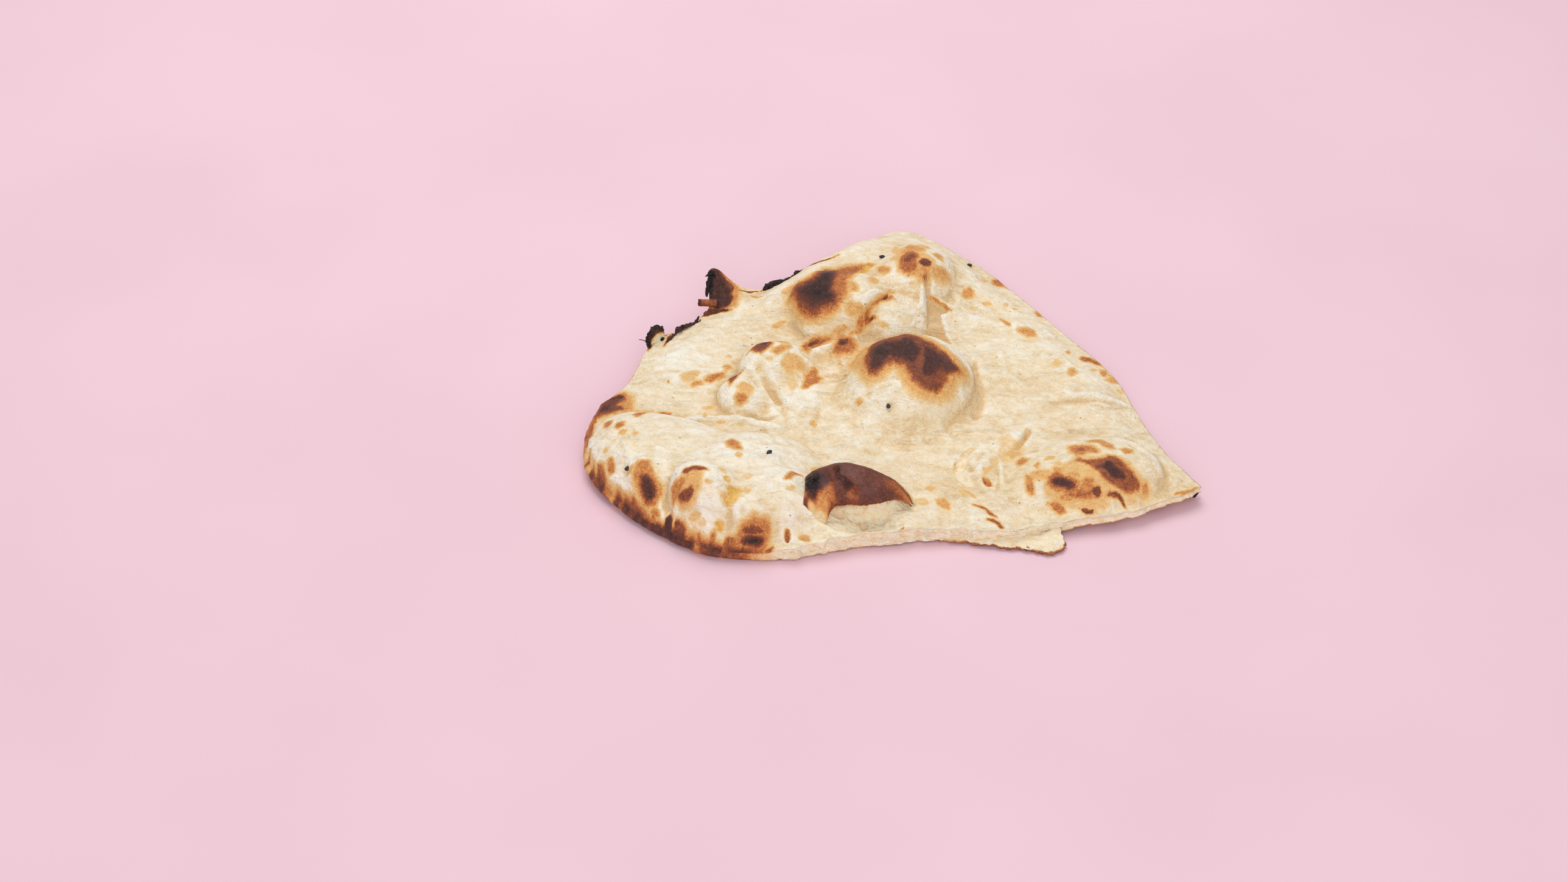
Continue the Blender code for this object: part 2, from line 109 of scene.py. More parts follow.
def catmull(points, n):
    """n + 1 points at equal steps along a smooth curve through the stations, first two columns as the path."""
    p = np.array(points, float)
    a = np.vstack([2 * p[0] - p[1], p, 2 * p[-1] - p[-2]])
    t = np.concatenate([[0], np.cumsum(np.sqrt(np.maximum(np.linalg.norm(np.diff(a[:, :2], axis=0), axis=1), 1e-6)))])
    out = []
    for i in range(1, len(a) - 2):
        t0, t1, t2, t3 = t[i - 1:i + 3]
        s = np.linspace(t1, t2, 41)[:-1, None]
        a1 = (t1 - s) / (t1 - t0) * a[i - 1] + (s - t0) / (t1 - t0) * a[i]
        a2 = (t2 - s) / (t2 - t1) * a[i] + (s - t1) / (t2 - t1) * a[i + 1]
        a3 = (t3 - s) / (t3 - t2) * a[i + 1] + (s - t2) / (t3 - t2) * a[i + 2]
        b1 = (t2 - s) / (t2 - t0) * a1 + (s - t0) / (t2 - t0) * a2
        b2 = (t3 - s) / (t3 - t1) * a2 + (s - t1) / (t3 - t1) * a3
        out.append((t2 - s) / (t2 - t1) * b1 + (s - t1) / (t2 - t1) * b2)
    c = np.vstack(out + [a[-2:-1]])
    d = np.concatenate([[0], np.cumsum(np.linalg.norm(np.diff(c[:, :2], axis=0), axis=1))])
    w = np.linspace(0, d[-1], n + 1)
    return np.stack([np.interp(w, d, c[:, k]) for k in range(c.shape[1])], 1)


def smax(a, b, k):
    h = np.maximum(k - np.abs(a - b), 0) / k
    return np.maximum(a, b) + h ** 3 * k / 6


def step(a, b, x):
    t = np.clip((x - a) / (b - a), 0, 1)
    return t * t * (3 - 2 * t)


def spots(x, y, table):
    """Sum of soft bumps: x, y, reach, size."""
    return sum(s * np.exp(-((x - a) ** 2 + (y - b) ** 2) / r ** 2) for a, b, r, s in table)


def path_distance(x, y, path):
    """Distance to a smooth path, and how far along it (0 to 1) the nearest point lies."""
    c = catmull(path, 40)
    best, along = np.full(x.shape, 1e9), np.zeros(x.shape)
    for i in range(len(c) - 1):
        ax, ay = c[i][:2]
        dx, dy = c[i + 1][0] - ax, c[i + 1][1] - ay
        t = np.clip(((x - ax) * dx + (y - ay) * dy) / (dx * dx + dy * dy), 0, 1)
        d = np.hypot(x - ax - t * dx, y - ay - t * dy)
        hit = d < best
        best = np.where(hit, d, best)
        along = np.where(hit, (i + t) / (len(c) - 1), along)
    return best, along


def rim(nu, nv):
    """The outline as one closed loop of stations (x, y, lift, thickness, crust, lip), anticlockwise, with its outward normals."""
    loop = np.vstack([catmull(s, n)[:-1] for s, n in ((FRONT, nu), (BACK_RIGHT, nv), (BACK_LEFT, nu), (FRONT_LEFT, nv))])
    loop[:, 2] += spots(loop[:, 0], loop[:, 1], CURLS)
    loop = np.column_stack([loop, spots(loop[:, 0], loop[:, 1], LIPS)])
    t = np.roll(loop[:, :2], -1, 0) - np.roll(loop[:, :2], 1, 0)
    n = np.stack([t[:, 1], -t[:, 0]], 1)
    n /= np.linalg.norm(n, axis=1, keepdims=True)
    return loop, n


def patch(loop_xy, nu, nv, relax):
    """Plan positions of a grid: a Coons patch inside the loop's four sides, then relaxed."""
    c0, d1 = loop_xy[:nu + 1], loop_xy[nu:nu + nv + 1]
    c1 = loop_xy[nu + nv:2 * nu + nv + 1][::-1]
    d0 = np.vstack([loop_xy[2 * nu + nv:], loop_xy[:1]])[::-1]
    u, v = np.linspace(0, 1, nu + 1)[:, None, None], np.linspace(0, 1, nv + 1)[None, :, None]
    g = (1 - v) * c0[:, None] + v * c1[:, None] + (1 - u) * d0[None] + u * d1[None]
    g -= (1 - u) * (1 - v) * c0[0] + u * (1 - v) * c0[-1] + (1 - u) * v * c1[0] + u * v * c1[-1]
    for _ in range(relax):
        g[1:-1, 1:-1] = 0.25 * (g[:-2, 1:-1] + g[2:, 1:-1] + g[1:-1, :-2] + g[1:-1, 2:])
    return g


def rim_values(x, y, loop):
    """Distance in from the rim, and the rim's own values (lift, thickness, crust, lip) blended from its nearest stretch."""
    q = loop[::max(1, len(loop) // 360)]
    p = np.stack([x.ravel(), y.ravel()], 1)
    dist, vals = np.empty(len(p)), np.empty((len(p), 4))
    for a in range(0, len(p), 8192):
        b = p[a:a + 8192]
        d2 = (b[:, None, 0] - q[None, :, 0]) ** 2 + (b[:, None, 1] - q[None, :, 1]) ** 2
        dm = d2.min(1)
        dist[a:a + 8192] = np.sqrt(dm)
        sig = 2.0 + 0.35 * np.sqrt(dm)
        w = np.exp(-(d2 - dm[:, None]) / (2 * sig[:, None] ** 2))
        vals[a:a + 8192] = (w @ q[:, 2:6]) / w.sum(1, keepdims=True)
    return dist.reshape(x.shape), vals.reshape(x.shape + (4,))


def underside(dist, vals):
    """Height of the underside: lifted at the rim, on the table further in, and lifted higher over a shorter way at a curl."""
    flat = np.minimum(vals[..., 0], 5.0)
    low = flat * (1 - step(0, LIFT_BAND, dist)) + (vals[..., 0] - flat) * (1 - step(0, 0.4 * LIFT_BAND, dist))
    return np.where(dist >= LIFT_BAND, 0.0, low)


def puff(x, y, cx, cy, left, right, front, back, turn, pl, pr, pf, pb, square):
    """A blister's profile: 1 at its top, 0 on its foot, below 0 outside; rounder or sharper on each side."""
    c, s = math.cos(math.radians(turn)), math.sin(math.radians(turn))
    u, v = (x - cx) * c + (y - cy) * s, -(x - cx) * s + (y - cy) * c
    a, b = np.abs(u / np.where(u < 0, left, right)) ** square, np.abs(v / np.where(v < 0, front, back)) ** square
    power = (a * np.where(u < 0, pl, pr) + b * np.where(v < 0, pf, pb)) / np.maximum(a + b, 1e-9)
    r2 = a + b
    return np.where(r2 < 1, np.abs(1 - r2) ** power, -np.minimum(r2 - 1, 0.6))


def swell(x, y):
    """Height that the blisters add to the sheet, and how far they lean."""
    wx = x + 1.1 * np.sin(y / 9.0 + 0.8) + 0.6 * np.sin(x / 6.1 + y / 7.3)
    wy = y + 1.1 * np.sin(x / 10.0 + 2.1) + 0.6 * np.sin(x / 7.7 - y / 5.9)
    levels = {1: np.zeros(x.shape), 2: np.zeros(x.shape)}
    lean = np.zeros(x.shape + (2,))
    for name, level, cx, cy, left, right, front, back, turn, height, pl, pr, pf, pb, lx, ly, square in PUFFS:
        f = puff(wx, wy, cx, cy, left, right, front, back, turn, pl, pr, pf, pb, square)
        levels[level] = smax(levels[level], height * f, 0.35 * height + 1.0)
        lean += (np.maximum(f, 0) ** 1.5)[..., None] * np.array([lx, ly])
    return levels[1] + levels[2], lean


def lines(x, y):
    z = np.zeros(x.shape)
    for name, height, half, path in LINES:
        d, along = path_distance(x, y, path)
        z += height * np.exp(-(d / half) ** 2 * 1.4) * step(0, 0.18, along) * step(0, 0.18, 1 - along)
    return z


def heights(x, y, dist, vals):
    """Top and underside of the bread at a plan position, and the sideways lean of the top."""
    low = underside(dist, vals)
    thick = vals[..., 1] + (SHEET - vals[..., 1]) * step(0, EDGE_BAND, dist)
    round_in = np.sqrt(np.clip(1 - (1 - np.clip(dist / ROUND_BAND, 0, 1)) ** 2, 0, 1))
    up, lean = swell(x, y)
    wave = 0.5 * np.sin(x / 17.0 + 1.0) * np.sin(y / 13.0 + 0.5) + 0.35 * np.sin(x / 8.0 - y / 11.0)
    top = low + thick + up * round_in + (lines(x, y) + wave) * np.clip(dist / 4.0, 0, 1)
    return top, low, lean * round_in[..., None]


# ---------------------------------------------------------------- fine surface

def lattice(ix, iy, iz, seed):
    """A repeatable 32-bit number for each lattice point."""
    h = (ix * 374761393 + iy * 668265263 + iz * 2246822519 + seed * 3266489917) & 0xFFFFFFFF
    h = ((h ^ (h >> 13)) * 1274126177) & 0xFFFFFFFF
    h = ((h ^ (h >> 16)) * 2654435761) & 0xFFFFFFFF
    return h ^ (h >> 15)


def noise(x, y, scale, seed=0, z=0.0):
    """Smooth gradient noise from about -1 to 1, with features of the given size."""
    x, y, z = np.broadcast_arrays(np.asarray(x, float) / scale, np.asarray(y, float) / scale, np.asarray(z, float) / scale + 0.37 * seed)
    i = [np.floor(c).astype(np.int64) for c in (x, y, z)]
    f = [c - j for c, j in zip((x, y, z), i)]
    w = [c * c * c * (c * (c * 6 - 15) + 10) for c in f]
    total = np.zeros(x.shape)
    for k in range(8):
        d = (k & 1, (k >> 1) & 1, k >> 2)
        h = lattice(i[0] + d[0], i[1] + d[1], i[2] + d[2], seed)
        g = [((h >> (8 * a)) & 255) / 127.5 - 1 for a in range(3)]
        dot = sum(g[a] * (f[a] - d[a]) for a in range(3))
        total += dot * np.prod([w[a] if d[a] else 1 - w[a] for a in range(3)], axis=0)
    return total * 1.25


def rough(x, y, scale, octaves, seed=0, z=0.0, gain=0.5):
    """Layered noise."""
    return sum(gain ** k * noise(x, y, scale / 2 ** k, seed + 17 * k, z) for k in range(octaves))


def inside(x, y, poly):
    """Signed distance to a closed outline: positive inside."""
    c = np.array(poly, float)
    best, odd = np.full(x.shape, 1e9), np.zeros(x.shape, bool)
    for (ax, ay), (bx, by) in zip(c, np.roll(c, -1, 0)):
        dx, dy = bx - ax, by - ay
        t = np.clip(((x - ax) * dx + (y - ay) * dy) / max(dx * dx + dy * dy, 1e-9), 0, 1)
        best = np.minimum(best, np.hypot(x - ax - t * dx, y - ay - t * dy))
        if ay != by:
            odd ^= ((ay > y) != (by > y)) & (x < (bx - ax) * (y - ay) / (by - ay) + ax)
    return np.where(odd, best, -best)


# Bumps left by small bubbles are scattered by a seeded generator; these are their reach and height limits
BUBBLES, BUBBLE_REACH, BUBBLE_HEIGHT = 230, (1.3, 4.2), (0.10, 0.42)

# Finer ridges (+) and creases (-): height, half width, points
FINE_LINES = [
    (1.1, 1.3, [(34.6, -25.5), (32.8, -29.0), (30.2, -31.4), (29.6, -34.5), (29.6, -37.6)]),
    (0.9, 1.2, [(37.2, -26.0), (37.6, -32.0), (36.6, -39.5), (35.5, -43.0)]),
    (-0.8, 0.9, [(26.8, -24.4), (26.0, -28.6), (26.2, -32.4), (28.0, -35.8)]),
    (-0.7, 0.9, [(32.6, -21.5), (30.5, -26.0), (28.8, -30.0)]),
    (0.5, 0.8, [(29.6, -20.8), (31.0, -25.0), (30.2, -28.6)]),
    (-0.9, 1.0, [(49.0, -9.5), (48.6, -12.5), (46.4, -18.0), (43.5, -22.0)]),
    (0.5, 1.4, [(45.0, -20.0), (50.0, -18.5), (56.0, -17.5)]),
    (-0.5, 1.1, [(42.0, -24.0), (47.0, -25.5), (53.0, -24.0)]),
    (-0.9, 1.0, [(-46.0, 10.0), (-43.5, 2.0), (-39.0, -3.0), (-34.0, -6.5)]),
    (-0.8, 1.1, [(-61.0, -2.2), (-56.0, -5.2), (-48.0, -5.8), (-42.0, -4.8)]),
    (0.7, 1.4, [(-50.0, 15.5), (-49.0, 8.0), (-45.5, 2.0), (-41.0, -2.5)]),
    (-0.7, 1.0, [(-28.5, -1.5), (-29.5, -6.0), (-32.0, -10.5)]),
    (-0.6, 0.9, [(-27.0, 16.5), (-20.0, 18.5), (-15.0, 20.5)]),
    (0.6, 1.2, [(-34.5, 22.0), (-29.0, 20.0), (-22.0, 17.0)]),
    (0.8, 1.0, [(-10.5, 42.5), (-9.6, 47.5), (-7.2, 51.5), (-3.5, 53.8)]),
    (-0.9, 1.2, [(-9.0, 41.0), (-7.0, 45.5), (-3.5, 48.0)]),
    (-1.6, 1.1, [(14.8, 68.5), (14.6, 64.0), (14.2, 60.0), (14.0, 57.5)]),
    (0.9, 1.2, [(16.5, 61.0), (19.5, 60.0), (23.0, 59.5), (27.0, 60.5)]),
    (-0.7, 0.9, [(24.5, 67.0), (24.0, 62.0), (22.5, 58.5)]),
    (-0.6, 1.3, [(-88.0, 23.0), (-84.0, 21.0), (-80.5, 20.0)]),
    (0.5, 2.0, [(-66.0, 31.0), (-58.0, 33.0), (-48.0, 36.0)]),
    (-0.5, 1.6, [(-70.0, 20.0), (-62.0, 27.0), (-54.0, 30.0)]),
    (0.45, 1.5, [(-80.0, 9.0), (-71.0, 14.0), (-66.0, 16.0)]),
    (0.5, 1.2, [(60.0, 12.0), (66.0, 10.5), (74.0, 9.6), (82.0, 9.0)]),
    (-0.6, 1.0, [(60.0, 6.5), (68.0, 5.5), (78.0, 4.8), (88.0, 5.0)]),
    (-0.5, 1.2, [(-52.5, -33.5), (-45.0, -29.5), (-38.0, -27.0)]),
    (0.5, 1.5, [(-96.5, -38.0), (-97.5, -44.0), (-97.0, -52.0)]),
    (-0.9, 0.9, [(-91.5, -45.0), (-92.5, -50.0), (-91.0, -56.0)]),
    (-0.7, 0.7, [(-93.8, -46.5), (-94.4, -51.0), (-93.4, -55.0)]),
    (-0.7, 0.7, [(-89.6, -47.0), (-90.4, -51.5), (-89.4, -56.0)]),
    (-1.0, 1.0, [(-58.0, -66.5), (-54.0, -68.8), (-49.5, -69.0)]),
    (-0.8, 0.8, [(-56.0, -70.5), (-52.5, -72.3), (-49.0, -72.0)]),
    (0.8, 0.9, [(-57.5, -68.6), (-53.0, -70.6), (-49.0, -70.4)]),
    (-0.9, 1.2, [(-62.0, -63.0), (-60.5, -67.0), (-60.5, -71.0)]),
    (-1.0, 1.2, [(-83.0, -50.0), (-84.5, -56.0), (-83.0, -62.0)]),
    (-0.8, 1.0, [(-77.5, -60.0), (-78.0, -64.5), (-76.5, -68.0)]),
]


def scatter(count, seed, reach, height):
    """Seeded small bumps inside the outline's box: x, y, reach, height."""
    r = np.random.default_rng(seed)
    x, y = r.uniform(-112, 105, count), r.uniform(-72, 112, count)
    size = reach[0] + (reach[1] - reach[0]) * r.random(count) ** 2
    return np.stack([x, y, size, height[0] + (height[1] - height[0]) * r.random(count)], 1)


def bubbles(x, y, table):
    z = np.zeros(x.shape)
    for cx, cy, reach, height in table:
        near = (np.abs(x - cx) < reach * 1.3) & (np.abs(y - cy) < reach * 1.3)
        if near.any():
            u, v = x[near] - cx, y[near] - cy
            q = (u * u + v * v) / reach ** 2 * (1 + 0.35 * np.sin(2 * np.arctan2(v, u) + cx))
            z[near] += height * np.maximum(1 - q, 0) ** 1.3
    return z


def along_streaks(x, y, turn, long, short, seed):
    """Noise drawn out along one direction, as where dough was stretched."""
    c, s = math.cos(math.radians(turn)), math.sin(math.radians(turn))
    return noise((x * c + y * s) / long, (-x * s + y * c) / short, 1.0, seed)


def fine_heights(x, y, dist, vals):
    """The bread's top with its tears, pleats, creases and grain."""
    top, low, lean = heights(x, y, dist, vals)
    keep = step(0.0, 3.0, dist)
    z = np.zeros(x.shape)
    for height, half, path in FINE_LINES:
        d, along = path_distance(x + 0.5 * noise(x, y, 2.6, 5), y + 0.5 * noise(x, y, 2.6, 6), path)
        z += height * np.exp(-(d / half) ** 2) * step(0, 0.2, along) * step(0, 0.2, 1 - along)
    wx, wy = x + 0.45 * noise(x, y, 2.0, 11), y + 0.45 * noise(x, y, 2.0, 12)
    for height, half, path in SHARP_LINES:
        d, along = path_distance(x + 0.25 * noise(x, y, 1.8, 7), y + 0.25 * noise(x, y, 1.8, 8), path)
        z += height * np.exp(-(d / half) ** 2) * step(0, 0.15, along) * step(0, 0.15, 1 - along)
    s = inside(wx, wy, WINDOW)
    z -= 1.5 * step(-0.15, 0.9, s) * (0.45 + 0.55 * step(37, 50, y))
    s = inside(wx, wy, TEAR)
    z -= 1.5 * step(-0.1, 0.7, s)
    s = inside(wx, wy, TEAR_LOW)
    z -= 0.8 * step(-0.1, 0.7, s) * (0.6 + 0.8 * noise(x, y, 2.2, 19))
    s = inside(wx, wy, HOLE)
    z -= 2.2 * step(-0.1, 0.6, s)
    for cx, cy, a, b, turn, height in BUMPS:
        c, s = math.cos(math.radians(turn)), math.sin(math.radians(turn))
        q = (((wx - cx) * c + (wy - cy) * s) / a) ** 2 + ((-(wx - cx) * s + (wy - cy) * c) / b) ** 2
        z += height * np.exp(-q ** 1.5)
    for cx, cy, a, b, depth in HOLLOWS:
        q = ((wx - cx) / a) ** 2 + ((wy - cy) / b) ** 2
        z += -depth * np.maximum(1 - q, 0) ** 0.7 + 0.25 * depth * np.exp(-((np.sqrt(q) - 1.15) / 0.22) ** 2)
    right = step(10, 45, x)
    z += 0.75 * noise(x, y, 19, 21) + 0.50 * noise(x, y, 8.5, 22) + 0.30 * noise(x, y, 3.8, 23) + 0.15 * noise(x, y, 1.9, 24)
    z += right * 0.34 * along_streaks(x, y, -52, 15.0, 2.8, 31) + (1 - right) * 0.22 * along_streaks(x, y, 20, 12.0, 2.6, 32)
    z += 0.22 * (1 - np.abs(2.2 * noise(x, y, 6.0, 33))) * step(-0.1, 0.25, noise(x, y, 24, 34))
    z += bubbles(x, y, scatter(BUBBLES, 7, BUBBLE_REACH, BUBBLE_HEIGHT))
    return top + z * keep, low, lean


# ---------------------------------------------------------------- toasting

def toast_and_shade(d, peak, fade):
    """How deep the toasting is at a distance inside (+) or outside (-) a spot's edge: a golden fringe, an orange-brown one, then the core."""
    d = d / fade
    value = 0.20 * step(-2.6, 0.3, d) + 0.30 * step(-0.7, 1.4, d) + 0.50 * step(0.7, 3.8, d)
    return peak * (1 - (1 - np.minimum(value / peak, 1)) ** 1.6) * 0.5 + np.minimum(value, peak) * 0.5


def heat_and_shade_map(x, y):
    """Depth of toasting over the top, with the painted shade put in the crumb's hollows."""
    wx = x + 1.5 * noise(x, y, 7.0, 41) + 0.9 * noise(x, y, 2.8, 42) + 0.45 * noise(x, y, 1.3, 43)
    wy = y + 1.5 * noise(x, y, 7.0, 44) + 0.9 * noise(x, y, 2.8, 45) + 0.45 * noise(x, y, 1.3, 46)
    heat_and_shade = np.zeros(x.shape)
    for cx, cy, a, b, turn, peak, fade in SPOTS:
        reach = max(a, b) + 3.5 * fade + 2
        near = (np.abs(x - cx) < reach) & (np.abs(y - cy) < reach)
        if not near.any():
            continue
        c, s = math.cos(math.radians(turn)), math.sin(math.radians(turn))
        k = min(1.0, 0.35 + min(a, b) / 9.0)  # small spots are warped less
        px, py = x[near] + (wx[near] - x[near]) * k - cx, y[near] + (wy[near] - y[near]) * k - cy
        u, v = px * c + py * s, -px * s + py * c
        q = np.sqrt((u / a) ** 2 + (v / b) ** 2) + 1e-6
        grad = np.sqrt((u / a ** 2) ** 2 + (v / b ** 2) ** 2) / q + 1e-6
        d = np.minimum((1 - q) / grad, min(a, b))
        small = min(1.0, min(a, b) / 3.0)
        heat_and_shade[near] = np.maximum(heat_and_shade[near], toast_and_shade(np.where(d > 0, d / max(small, 0.35), d), peak, fade * (0.55 + 0.45 * small)))
    for peak, fade, path in PATCHES:
        p = np.array(path)
        edge = 3.0 * fade + 1.5
        near = (x > p[:, 0].min() - edge) & (x < p[:, 0].max() + edge) & (y > p[:, 1].min() - edge) & (y < p[:, 1].max() + edge)
        if not near.any():
            continue
        size = min(np.ptp(p[:, 0]), np.ptp(p[:, 1]))
        k = min(0.7, 0.12 + size / 30.0)  # small patches are warped less
        small = min(1.0, max(size / 6.0, 0.3))
        d = inside(x[near] + k * (wx[near] - x[near]), y[near] + k * (wy[near] - y[near]), path)
        heat_and_shade[near] = np.maximum(heat_and_shade[near], toast_and_shade(np.where(d > 0, d / small, d), peak, fade * (1.0 + 0.5 * small)))
    for half, peak, fade, path in STROKES:
        p = np.array(path)
        near = (x > p[:, 0].min() - 6) & (x < p[:, 0].max() + 6) & (y > p[:, 1].min() - 6) & (y < p[:, 1].max() + 6)
        if not near.any():
            continue
        d, along = path_distance(x[near] + 0.6 * (wx[near] - x[near]), y[near] + 0.6 * (wy[near] - y[near]), path)
        ends = half * (0.45 + 0.55 * step(0, 0.25, along) * step(0, 0.25, 1 - along))
        d = ends - d
        heat_and_shade[near] = np.maximum(heat_and_shade[near], toast_and_shade(np.where(d > 0, d * 2.2, d), peak, fade))
    return heat_and_shade


# Toasted places: x, y, half length, half width, turn (degrees), depth of toasting (0 dough, 1 char), width of the fade
SPOTS = [
    (-66.5, 66, 5.5, 5, 85, 0.8, 0.5),
    (-70, 69.5, 3.5, 1.5, 90, 0.99, 0.5),
    (-70, 73, 1.5, 1, 55, 1, 0.5),
    (-63.5, 71, 2.5, 2, 50, 0.62, 0.4),
    # these spots lie in the hollows of the torn crumb (see HOLLOWS): their tan is painted shade in those hollows, not
    # toasting
    (-13.2, -62.2, 1.8, 2.4, 0, 0.26, 1.2),
    (-22.5, -59.4, 3, 1.6, 0, 0.3, 1.2),
    (-2.7, -62.4, 0.8, 1.5, 0, 0.2, 0.4),
    (0.4, -66.2, 0.5, 1.6, -30, 0.42, 0.3),
    (-9.2, -68.6, 0.5, 0.7, 0, 0.4, 0.3),
    (-40.5, -71.4, 0.9, 1.5, 0, 0.46, 0.5),
    (-34, -71, 2.2, 0.8, 0, 0.28, 0.8),
]
